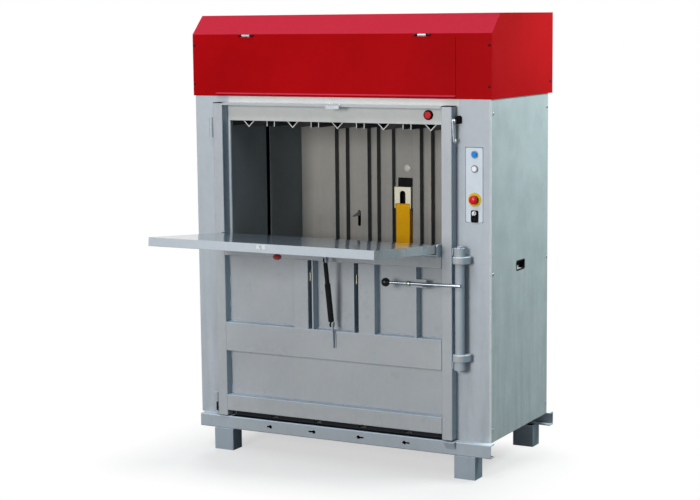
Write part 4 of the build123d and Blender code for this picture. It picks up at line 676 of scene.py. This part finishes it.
# Flap: its top face painted darker and bluer as a painted reflection of the chamber, with painted shade on
# its right end
FLAP_PAINT = paint(
    "flap_paint", (180, 188, 197), (170, 179, 189), roughness=0.16, roughness_spread=0.05, patch_scale=2.4,
    speck_amount=0.15, peel_scale=160.0, coat=0.6, coat_roughness=0.06, bump=0.00002, top=(112, 130, 147),
    top_amount=0.85, inlays=(Inlay(FLAP_END_SHADE, (1261.5, -680, 975), (1264, -50, 1080)),))
PLATEN_PAINT = paint(
    "platen_paint", (66, 70, 74), (52, 56, 60), roughness=0.44, patch_scale=5.0, patch_strength=0.8,
    speck_amount=0.4, specular=0.35)
# Platen paint with a painted highlight on the ribs' front edges
RIB_PAINT = replace(
    PLATEN_PAINT, name="rib_paint", inlays=(Inlay(LIT_PAINT, (250, 5.5, 1495), (1230, 6.5, 1535)),))
TANK_PAINT = paint(
    "tank_paint", (72, 84, 96), (58, 68, 78), roughness=0.36, patch_scale=6.0, speck_amount=0.4, coat=0.2)
STRUT_PAINT = paint(
    "strut_paint", (13, 14, 15), (21, 21, 22), roughness=0.3, patch_scale=20.0, patch_strength=0.4,
    speck_amount=0.12, coat=0.1, specular=0.2, grime=(110, 108, 104))
BRACKET_PAINT = replace(
    FRAME_PAINT, name="bracket_paint", inlays=(Inlay(BLUE_ZINC, (716, -680, 1040), (762, -662.2, 1070)),))
TUBE_PAINT = replace(
    FRAME_PAINT, name="lock_tube_paint",
    values={**FRAME_PAINT.values, "Paint": linear(170, 180, 188), "Shade": linear(160, 170, 179)})
HOOK_ZINC = metal(
    "hook_zinc", (236, 233, 212), (206, 198, 168), roughness=0.34, spangle=0.4, tarnish_amount=0.3,
    metallic=0.35)
LEVER_STEEL = metal("lever_steel", (168, 176, 184), (126, 132, 136), roughness=0.28, spangle=0.1)
STEEL = metal("plain_steel", (186, 188, 190), (120, 118, 112), roughness=0.3, spangle=0.15)
CHROME = metal(
    "ground_chrome", (214, 215, 217), (170, 171, 172), roughness=0.12, spangle=0.05, tarnish_amount=0.15,
    grain_scale=120.0)
SCREW_ZINC = metal("screw_zinc", (206, 208, 210), (130, 128, 120), roughness=0.28, tarnish_amount=0.5)
COVER_SCREWS = replace(
    SCREW_ZINC, name="cover_screw_zinc", specular=0.03,
    inlays=(Inlay(BLACK_PAINT, (-50, -50, 1650), (1600, 800, 2300)),))
KNUCKLE_PAINT = replace(
    HOOD_PAINT, name="knuckle_paint", inlays=(
        Inlay(BLACK_PAINT, (0, -30, 1907.5), (1500, 20, 1930)),
        Inlay(BLUE_ZINC, (262, -30, 1907.5), (302, 20, 1930)),
        Inlay(BLUE_ZINC, (1140.5, -30, 1907.5), (1180.5, 20, 1930)),
    ))
BLACK_PLASTIC = moulded(
    "black_plastic", (18, 18, 20), roughness=0.5, dust_amount=0.05, handling=0.08, specular=0.01)
KNOB_PLASTIC = moulded(
    "knob_plastic", (10, 10, 11), roughness=0.16, dust_amount=0.05, handling=0.06, grain_scale=300.0,
    coat=0.2, coat_roughness=0.08, specular=0.2)
GRIP_FLOOR = moulded("grip_floor", (190, 195, 195), roughness=0.5, dust_amount=0.2)
GRIP_PLASTIC = moulded(
    "grip_plastic", (14, 14, 15), roughness=0.55, dust_amount=0.1, specular=0.1, inlays=(
        Inlay(GRIP_FLOOR, (1420, 296, 878), (1476.5, 352, 892)),
        Inlay(GRIP_FLOOR, (1.5, 296, 878), (58, 352, 892)),
    ))
RUBBER = moulded("black_rubber", (20, 20, 21), roughness=0.68, grain_scale=900.0, specular=0.15)
BLUE_LENS = moulded(
    "blue_lens", (4, 134, 236), roughness=0.18, dust_amount=0.04, handling=0.05, coat=0.3,
    coat_roughness=0.06, specular=0.3)
WHITE_LENS = moulded(
    "white_lens", (240, 243, 248), roughness=0.2, dust_amount=0.03, handling=0.05, coat=0.4,
    coat_roughness=0.06)
RED_PLASTIC = moulded(
    "red_plastic", (212, 18, 34), roughness=0.3, dust_amount=0.04, handling=0.06, coat=0.1,
    coat_roughness=0.2, specular=0.2)
RED_KNOB = moulded(
    "red_knob_plastic", (140, 22, 26), roughness=0.26, dust_amount=0.08, handling=0.06, coat=0.3)
YELLOW_PLASTIC = moulded("yellow_plastic", (214, 182, 20), dust_amount=0.08, specular=0.2)
WHITE_PLASTIC = moulded("white_plastic", (226, 228, 228), roughness=0.36, dust_amount=0.08)
RING_METAL = metal(
    "ring_metal", (116, 120, 124), (84, 86, 88), roughness=0.3, spangle=0.05, tarnish_amount=0.3, brush=0.4)
WEBBING = Finish(
    "sling_webbing", Surface.WOVEN, {"Yarn": linear(255, 196, 26), "Gap": linear(250, 160, 8), "Fuzz": 0.1},
    bump=0.0004, specular=0.1)
WELD = paint(
    "weld_paint", (190, 198, 204), (172, 180, 188), roughness=0.25, patch_scale=30.0, peel_scale=500.0)


@dataclass
class Dressing:
    """The finishes of the machine's own pieces."""

    finishes: tuple[tuple[Finish, tuple[str, ...]], ...] = (
        (BASE_PAINT, ("base_frame", "door_ramp")),
        (FOOT_PAINT, ("feet",)),
        (FLOOR_PAINT, ("chamber_floor",)),
        (FRONT_PAINT, ("front_plate",)),
        (SIDE_PAINT, ("side_panels",)),
        (COVER_SCREWS, ("cover_screws",)),
        (GRIP_PLASTIC, ("finger_grips",)),
        (CHEEK_SHADE_PAINT, ("chamber_walls",)),
        (BACK_PAINT, ("back_wall",)),
        (HOOK_ZINC, ("ejector_hook",)),
        (WEBBING, ("ejector_sling",)),
        (BODY_PAINT, ("roof_plate",)),
        (HOOD_PAINT, ("hood",)),
        (BLACK_PAINT, ("hatch_hinges",)),
        (TANK_PAINT, ("oil_tank", "motor_pump", "cylinder_tubes")),
        (STEEL, ("valve_block", "latch_bolt")),
        (HINGE_PAINT, ("frame_hinges", "door_hinges")),
        (PANEL_PAINT, ("control_panel",)),
        (RING_METAL, ("button_rings",)),
        (YELLOW_PLASTIC, ("estop_ring",)),
        (BLACK_PLASTIC, ("black_bezels", "interlock_switch", "stile_caps")),
        (FRAME_PAINT, ("lock_brackets", "door_stiles", "door_skin", "strap_posts", "lever_holder",
            "flap_lugs", "strut_link", "lock_keepers")),
        (HATCH_PAINT, ("hatch",)),
        (KNUCKLE_PAINT, ("hatch_knuckles",)),
        (PLATEN_PAINT, ("platen", "ram_arms")),
        (RIB_PAINT, ("platen_ribs",)),
        (CHROME, ("cylinder_rods",)),
        (RAIL_PAINT, ("door_rails",)),
        (ZINC, ("strap_hooks",)),
        (BLUE_ZINC, ("strike_plate", "interlock_link")),
        (FLAP_PAINT, ("flap",)),
        (BRACKET_PAINT, ("flap_brackets",)),
        (RUBBER, ("flap_buffer",)),
        (RED_KNOB, ("latch_knob",)),
        (STRUT_PAINT, ("strut_shroud", "strut_cylinder")),
        (TUBE_PAINT, ("lock_tube",)),
        (LEVER_STEEL, ("lock_lever",)),
        (KNOB_PLASTIC, ("lever_knob",)),
        (BLUE_LENS, ("blue_button",)),
        (WHITE_LENS, ("white_button",)),
        (RED_PLASTIC, ("header_button", "estop_head")),
        (WHITE_PLASTIC, ("selector",)),
    )

    def apply(self) -> None:
        """Gives every piece its material."""
        dressed = 0
        for finish, names in self.finishes:
            for name in names:
                materials = NODES[name].data.materials
                materials.clear()
                materials.append(finish.build())
                dressed += 1
        log.info("dressed %d of %d pieces", dressed, len(NODES))


# Pieces made here


def finish_piece(name: str, shape: Shape, finish: Finish, body: str,
                 smooth: bool = True) -> bpy.types.Object:
    """Turns a shape into a finished piece that rides on a body.

    Args:
        name: The piece's name.
        shape: Its mesh in the machine's frame, freed here.
        finish: Its finish.
        body: The body that it moves with.
        smooth: Whether its faces are shaded smooth.

    Returns:
        The piece.
    """
    mesh = bpy.data.meshes.new(name)
    for face in shape.faces:
        face.smooth = smooth
    shape.to_mesh(mesh)
    shape.free()
    mesh.materials.append(finish.build())
    piece = bpy.data.objects.new(name, mesh)
    bpy.context.scene.collection.objects.link(piece)
    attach(piece, body)
    log.info("made %s on %s", name, body)
    return piece


@dataclass
class WeldSeams:
    """Short welds that hold the door's skin, rails, posts and lugs together.

    A bead's own sizes are in metres. Its y and the runs, with the x and z of both ends, are in millimetres.
    """

    bead_width: float = 0.0065
    bead_height: float = 0.0026
    ripple_pitch: float = 0.0036
    unevenness: float = 0.16
    face_y: float = -6.0
    runs: tuple[tuple[float, float, float, float], ...] = (
        (176, 905, 176, 872), (176, 806, 176, 776), (176, 700, 176, 668),
        (176, 640, 176, 608), (182, 606.5, 214, 606.5), (300, 606.5, 334, 606.5),
        (424, 606.5, 458, 606.5), (640, 606.5, 670, 606.5), (720, 606.5, 752, 606.5),
        (960, 606.5, 994, 606.5), (1040, 606.5, 1074, 606.5), (1180, 606.5, 1210, 606.5),
        (176, 460, 176, 430), (176, 300, 176, 268), (1268, 900, 1268, 870),
        (1268, 660, 1268, 630), (946.5, 880, 946.5, 846), (946.5, 740, 946.5, 712),
        (946.5, 650, 946.5, 622))

    def bead(self, shape: Shape, start: Vector, end: Vector) -> None:
        """Adds one bead of overlapping ripples to a shape.

        Args:
            shape: The shape.
            start: The bead's first point.
            end: Its last point.
        """
        reach = end - start
        count = max(3, int(reach.length / self.ripple_pitch))
        for step in range(count + 1):
            swing = self.unevenness * math.sin(step * 2.4 + start.x * 90.0 + start.z * 50.0)
            half_width = self.bead_width * (0.5 + swing * 0.5)
            size = Matrix.Diagonal((half_width, self.bead_height * (1.0 + swing), half_width, 1.0))
            middle = start + reach * (step / count)
            bmesh.ops.create_uvsphere(shape, u_segments=10, v_segments=6, radius=1.0,
                                      matrix=Matrix.Translation(middle) @ size)

    def build(self) -> None:
        """Builds the door's welds as one piece."""
        shape = bmesh.new()
        for first_x, first_z, last_x, last_z in self.runs:
            self.bead(shape, at(first_x, self.face_y, first_z), at(last_x, self.face_y, last_z))
        finish_piece("door_welds", shape, WELD, "door")


@dataclass
class EjectorSling:
    """The webbing sling: one strip looped over the hook's pin, with both legs hanging down the bay.

    Attributes:
        air: Room between pin and webbing.
        pin_y: The pin's place from the front plate, in millimetres.
        pin_z: Its height in millimetres.
        low_z: The legs' lower ends in millimetres.
        mid_x: The sling's middle in millimetres.
        rows: Faces along a leg.
        bow_end: A leg's length over the part of it that bows along y.
        crown: The share of its bow that a leg's edges lack.
        sway_turn: Angle of the sway along x over a whole leg.
        back_shift: How far the back leg hangs aside.
        shift_end: A leg's length over the part of it that this takes.
    """

    width: float = 0.074
    thickness: float = 0.0028
    pin_radius: float = 0.005
    air: float = 0.0006
    pin_y: float = 663.0
    pin_z: float = 1097.0
    low_z: float = 640.0
    mid_x: float = 739.0
    columns: int = 8
    rows: int = 60
    turn_rows: int = 12
    front_bow: float = -0.004
    back_bow: float = 0.002
    bow_end: float = 1.15
    crown: float = 0.25
    front_sway: float = 0.0015
    back_sway: float = -0.0005
    sway_turn: float = 5.0
    back_shift: float = 0.0045
    shift_end: float = 6.0

    def radius(self) -> float:
        """Radius of the webbing's middle line round the pin."""
        return self.pin_radius + self.air + self.thickness / 2

    def leg(self) -> float:
        """Length of a leg."""
        return (self.pin_z - self.low_z) / MM_IN_METRE

    def extended(self, shape: Shape, edges: list[bmesh.types.BMEdge], start: float,
                 climb: float) -> list[bmesh.types.BMEdge]:
        """Adds one leg to the strip, row by row.

        Args:
            shape: The strip.
            edges: The edges that the leg grows from.
            start: Their height.
            climb: How far each row lies above the one before it.

        Returns:
            The edges of the last row.
        """
        for row in range(self.rows):
            grown = bmesh.ops.extrude_edge_only(shape, edges=edges)["geom"]
            verts = [item for item in grown if isinstance(item, bmesh.types.BMVert)]
            bmesh.ops.translate(shape, verts=verts, vec=(0.0, 0.0, climb))
            level = start + climb * (row + 1)
            edges = [item for item in grown if isinstance(item, bmesh.types.BMEdge)
                     and all(abs(vert.co.z - level) < abs(climb) / 2 for vert in item.verts)]
        return edges

    def unroll(self, shape: Shape, middle: Vector) -> None:
        """Maps the straight strip round the pin's middle: U across in widths, V along in metres."""
        layer = shape.loops.layers.uv.new("UVMap")
        low = middle.z - self.leg()
        for face in shape.faces:
            behind = face.calc_center_median().y > middle.y
            for loop in face.loops:
                point = loop.vert.co
                if point.z < middle.z:
                    back_run = self.leg() + math.pi * self.radius() + (middle.z - point.z)
                    run = back_run if behind else point.z - low
                else:
                    run = self.leg() + self.radius() * math.atan2(point.z - middle.z, middle.y - point.y)
                loop[layer].uv = ((point.x - middle.x) / self.width + 0.5, run)

    def relax(self, shape: Shape, middle: Vector) -> None:
        """Lets the straight legs bow and sway below the pin's middle."""
        for vert in shape.verts:
            if vert.co.z < middle.z:
                share = (middle.z - vert.co.z) / self.leg()
                front = vert.co.y < middle.y
                across = (vert.co.x - middle.x) / (self.width / 2)
                bow = math.sin(math.pi * min(1.0, share * self.bow_end)) ** 2
                sway = math.sin(share * self.sway_turn)
                shift = 0.0 if front else self.back_shift * min(1.0, share * self.shift_end)
                vert.co.y += ((self.front_bow if front else self.back_bow) * bow
                              * (1.0 - self.crown * across * across))
                vert.co.x += (self.front_sway if front else self.back_sway) * sway + shift

    def build(self) -> None:
        """Builds the strip, maps it for its weave, and hangs it on the hook."""
        shape = bmesh.new()
        middle = at(self.mid_x, self.pin_y, self.pin_z)
        low = middle.z - self.leg()
        front_y = middle.y - self.radius()
        first = [shape.verts.new((middle.x + self.width * (i / self.columns - 0.5), front_y, low))
                 for i in range(self.columns + 1)]
        edges = [shape.edges.new(pair) for pair in zip(first, first[1:])]
        rise = self.leg() / self.rows
        edges = self.extended(shape, edges, low, rise)
        turned = bmesh.ops.spin(shape, geom=edges, cent=middle, axis=(-1.0, 0.0, 0.0), angle=math.pi,
                                steps=self.turn_rows, use_duplicate=False)["geom_last"]
        edges = [item for item in turned if isinstance(item, bmesh.types.BMEdge)]
        self.extended(shape, edges, middle.z, -rise)
        bmesh.ops.remove_doubles(shape, verts=shape.verts, dist=1e-6)
        bmesh.ops.recalc_face_normals(shape, faces=shape.faces)
        self.unroll(shape, middle)
        self.relax(shape, middle)
        bmesh.ops.recalc_face_normals(shape, faces=shape.faces)
        piece = finish_piece("sling_strip", shape, WEBBING, "machine")
        wall = piece.modifiers.new("thickness", "SOLIDIFY")
        wall.thickness = self.thickness
        wall.offset = 0.0
        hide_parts("ejector_sling")
        flat_length = 2 * self.leg() + math.pi * self.radius()


@dataclass
class ScrewRecesses:
    """Hexagon sockets in the button heads of the side panels, painted black as the shade inside them.

    A socket's own sizes are in metres. The screws' places and the body's width are in millimetres.
    """

    radius: float = 0.0042
    taper: float = 0.9
    depth: float = 0.0004
    sunk: float = 0.4
    rim: float = 0.00008
    panel_zs: tuple[float, ...] = (214.0, 894.0, 1579.0)
    panel_ys: tuple[float, ...] = (22.5, 638.0)
    head: float = 2.5
    body_width: float = 1478.0

    def build(self) -> None:
        """Builds the sockets of both panels as one piece."""
        shape = bmesh.new()
        for side_x, side in ((-self.head, -1.0), (self.body_width + self.head, 1.0)):
            sideways = Euler((0.0, side * math.pi / 2, 0.0)).to_matrix().to_4x4()
            for y in self.panel_ys:
                for z in self.panel_zs:
                    place = at(side_x, y, z) - Vector((side * self.depth * self.sunk, 0.0, 0.0))
                    grown = bmesh.ops.create_cone(
                        shape, cap_ends=True, segments=6, radius1=self.radius, depth=self.depth,
                        radius2=self.radius * self.taper, matrix=Matrix.Translation(place) @ sideways)
                    rims = {edge for vert in grown["verts"] for edge in vert.link_edges}
                    bmesh.ops.bevel(shape, geom=list(rims), affect="EDGES", segments=1, offset=self.rim,
                                    profile=0.5, material=-1)
        finish_piece("screw_sockets", shape, BLACK_PAINT, "machine", smooth=False)


def lathed(profile: Profile, centre: Vector, axis: Vector) -> Shape:
    """A shape turned from a profile.

    Args:
        profile: Points as radius and distance along the axis, in millimetres; a profile that begins away from
            the axis is closed into a ring.
        centre: The point on the axis that distances are counted from.
        axis: The axis's direction.

    Returns:
        The shape.
    """
    shape = bmesh.new()
    outward = axis.orthogonal().normalized()
    points = [shape.verts.new(centre + outward * (radius / MM_IN_METRE) + axis * (along / MM_IN_METRE))
              for radius, along in profile]
    pairs = list(zip(points, points[1:]))
    if profile[0][0] > 0.0:
        pairs.append((points[-1], points[0]))
    edges = [shape.edges.new(pair) for pair in pairs]
    bmesh.ops.spin(shape, geom=points + edges, cent=centre, axis=axis, angle=2.0 * math.pi, steps=48,
                   use_merge=True, use_duplicate=False)
    bmesh.ops.remove_doubles(shape, verts=shape.verts, dist=1e-6)
    bmesh.ops.recalc_face_normals(shape, faces=shape.faces)
    return shape


@dataclass
class Fittings:
    """Small turned pieces: the emergency stop's head and collar, the bay's plug, an eyelet and a clamp ring.

    Profiles are for lathed(), places are in millimetres as in at().
    """

    head: Profile = (
        (0, 0.4), (10.6, 0.4), (10.6, 14.6), (13, 15.3), (18.2, 15.3), (19.2, 16.2), (19.6, 18.4),
        (19, 22.8), (17.2, 26.2), (13.4, 28.8), (7.6, 30.3), (0, 30.8))
    collar: Profile = ((11.8, 6.1), (18.4, 6.1), (18.4, 8.6), (17.4, 9.7), (11.8, 9.7))
    plug: Profile = ((0, 0.1), (15.2, 0.1), (15, 1), (11, 2.4), (5.5, 3), (0, 3.1))
    eyelet: Profile = ((2, 0.1), (5.5, 0.1), (5.3, 0.9), (4, 1.4), (2.6, 1.2), (2, 0.6))
    clamp: Profile = ((6.7, 0), (9.6, 0), (10.2, 0.8), (10.2, 17.2), (9.6, 18), (6.7, 18))
    stop_at: Point = (1404.5, 0, 1214.9)
    plug_at: Point = (752, 681, 1274.5)
    eyelet_at: Point = (1403.9, -6, 1131)
    clamp_at: Point = (1120, -85.3, 849)

    def build(self) -> None:
        """Builds the fittings in place."""
        out = Vector((0.0, -1.0, 0.0))
        right = Vector((1.0, 0.0, 0.0))
        head = lathed(self.head, at(*self.stop_at), out)
        head = finish_piece("estop_mushroom", head, RED_PLASTIC, "estop")
        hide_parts("estop_head")
        collar = lathed(self.collar, at(*self.stop_at), out)
        finish_piece("estop_collar", collar, BLACK_PLASTIC, "machine")
        plug = lathed(self.plug, at(*self.plug_at), out)
        finish_piece("bay_plug", plug, PLUG_PLASTIC, "machine")
        eyelet = lathed(self.eyelet, at(*self.eyelet_at), out)
        finish_piece("selector_eyelet", eyelet, BLACK_PAINT, "machine")
        clamp = lathed(self.clamp, at(*self.clamp_at), right)
        finish_piece("lever_clamp", clamp, STEEL, "lock")


# Stage, light and camera


@dataclass(frozen=True)
class Lamp:
    """One soft rectangular lamp, which may be kept out of reflections. Its power is in watts."""

    name: str
    place: Point
    target: Point
    size: tuple[float, float]
    power: float
    tint: Point
    mirrored: bool = True

    def build(self) -> None:
        """Adds the lamp to the scene."""
        light = bpy.data.lights.new(self.name, "AREA")
        light.shape = "RECTANGLE"
        light.size, light.size_y = self.size
        light.energy = self.power
        light.color = self.tint
        lamp = bpy.data.objects.new(self.name, light)
        lamp.location = self.place
        lamp.visible_glossy = self.mirrored
        lamp.rotation_euler = (Vector(self.target) - Vector(self.place)).to_track_quat("-Z", "Y").to_euler()
        bpy.context.scene.collection.objects.link(lamp)


@dataclass
class Studio:
    """A white floor with a soft shadow, soft lamps and an even surrounding light.

    Attributes:
        half_width: Half the width of the place where the floor shows its own tone.
        half_depth: Half its depth.
        clear_to: Distance from that place at which the floor is white.
        floor_lift: Light that the floor gives the camera of itself.
        surround: Strength of the surrounding light.
    """

    floor_size: float = 60.0
    half_width: float = 0.7
    half_depth: float = 0.36
    clear_to: float = 0.34
    floor_tone: float = 0.36
    floor_lift: float = 0.57
    surround: float = 0.1
    surround_tint: Point = (0.84, 0.95, 1.0)
    lamps: tuple[Lamp, ...] = (
        Lamp("key", (-0.6, -7.6, 2.3), (0.0, 0.0, 1.0), (1.8, 2.4), 336.0, (1.0, 0.985, 0.96)),
        Lamp("high", (-0.4, -2.8, 5.2), (0.0, -0.2, 1.5), (3.0, 1.6), 100.0, (0.93, 0.97, 1.0)),
        Lamp("side", (2.7, 1.3, 3.0), (0.75, 0.3, 1.4), (1.4, 1.4), 97.0, (0.93, 1.0, 0.99)),
        Lamp("rear", (-3.2, 4.2, 3.2), (0.0, 0.3, 1.0), (2.0, 2.0), 220.0, (0.97, 0.99, 1.0), mirrored=False))

    def floor_material(self) -> bpy.types.Material:
        """The floor's material, white to the camera away from the machine."""
        material = bpy.data.materials.new("floor")
        wire = emptied(material)
        parts = wire.split(wire.place())
        squares = []
        for axis, half in (("X", self.half_width), ("Y", self.half_depth)):
            past = wire.math("SUBTRACT", wire.math("ABSOLUTE", parts[axis]), half)
            squares.append(wire.math("POWER", wire.math("MAXIMUM", past, 0.0), 2.0))
        far = wire.spread(wire.math("SQRT", wire.plus(*squares)), 0.0, self.clear_to)
        seen = wire.node("ShaderNodeLightPath").outputs["Is Camera Ray"]
        diffuse = wire.node("ShaderNodeBsdfDiffuse")
        wire.feed(diffuse.inputs["Color"], (self.floor_tone,) * 3 + (1.0,))
        lift = wire.node("ShaderNodeEmission")
        wire.feed(lift.inputs["Strength"], wire.times(seen, self.floor_lift))
        near = wire.node("ShaderNodeAddShader")
        wire.feed(near.inputs[0], diffuse.outputs[0])
        wire.feed(near.inputs[1], lift.outputs[0])
        white = wire.node("ShaderNodeEmission")
        wire.feed(white.inputs["Strength"], 1.0)
        wire.finish("ShaderNodeOutputMaterial", wire.blend(wire.times(far, seen), near, white))
        return material

    def floor(self) -> None:
        """Builds the floor, with the machine's shadow near the machine."""
        shape = bmesh.new()
        bmesh.ops.create_grid(shape, x_segments=1, y_segments=1, size=self.floor_size / 2)
        mesh = bpy.data.meshes.new("floor")
        shape.to_mesh(mesh)
        shape.free()
        mesh.materials.append(self.floor_material())
        floor = bpy.data.objects.new("floor", mesh)
        bpy.context.scene.collection.objects.link(floor)

    def world(self) -> None:
        """Lights the surroundings evenly and shows them white to the camera and in reflections."""
        world = bpy.data.worlds.new("studio")
        wire = emptied(world)
        path = wire.node("ShaderNodeLightPath").outputs
        direct = wire.math("MAXIMUM", path["Is Camera Ray"], path["Is Glossy Ray"])
        shown = wire.math("MAXIMUM", direct, path["Is Transmission Ray"])
        even = wire.node("ShaderNodeBackground")
        wire.feed(even.inputs["Color"], (*self.surround_tint, 1.0))
        wire.feed(even.inputs["Strength"], self.surround)
        white = wire.node("ShaderNodeBackground")
        wire.feed(white.inputs["Color"], (1.0, 1.0, 1.0, 1.0))
        wire.finish("ShaderNodeOutputWorld", wire.blend(shown, even, white))
        bpy.context.scene.world = world

    def build(self) -> None:
        """Builds floor, surroundings and lamps."""
        self.floor()
        self.world()
        for lamp in self.lamps:
            lamp.build()
        log.info("studio ready")


@dataclass
class Viewpoint:
    """The photograph's camera. Its place is as in at(), and its angles are in degrees."""

    place: Point = (4389.9, -6739.6, 1987.0)
    yaw: float = 28.049
    pitch: float = 7.6135
    roll: float = -0.5777
    lens: float = 89.262
    sensor: float = 36.0
    reach: float = 200.0

    def build(self) -> None:
        """Makes the camera and sets it as the scene's."""
        yaw, pitch, roll = (math.radians(angle) for angle in (self.yaw, self.pitch, self.roll))
        level = math.cos(pitch)
        forward = Vector((-math.sin(yaw) * level, math.cos(yaw) * level, -math.sin(pitch)))
        right = Vector((math.cos(yaw), math.sin(yaw), 0.0))
        up = right.cross(forward)
        rolled_right = right * math.cos(roll) + up * math.sin(roll)
        rolled_up = up * math.cos(roll) - right * math.sin(roll)
        turn = Matrix((rolled_right, rolled_up, -forward)).transposed().to_4x4()
        lens = bpy.data.cameras.new("camera")
        lens.lens = self.lens
        lens.sensor_width = self.sensor
        lens.sensor_fit = "HORIZONTAL"
        lens.clip_end = self.reach
        camera = bpy.data.objects.new("camera", lens)
        camera.matrix_world = Matrix.Translation(at(*self.place)) @ turn
        bpy.context.scene.collection.objects.link(camera)
        bpy.context.scene.camera = camera
        log.info("camera ready")


def main() -> None:
    """Builds the scene in order."""
    logging.basicConfig(level=logging.INFO, format="%(name)s: %(message)s")
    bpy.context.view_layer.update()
    bpy.context.scene.view_settings.view_transform = "Standard"
    Viewpoint().build()
    Dressing().apply()
    EjectorSling().build()
    WeldSeams().build()
    ScrewRecesses().build()
    Fittings().build()
    Studio().build()


if __name__ == "__main__":
    main()
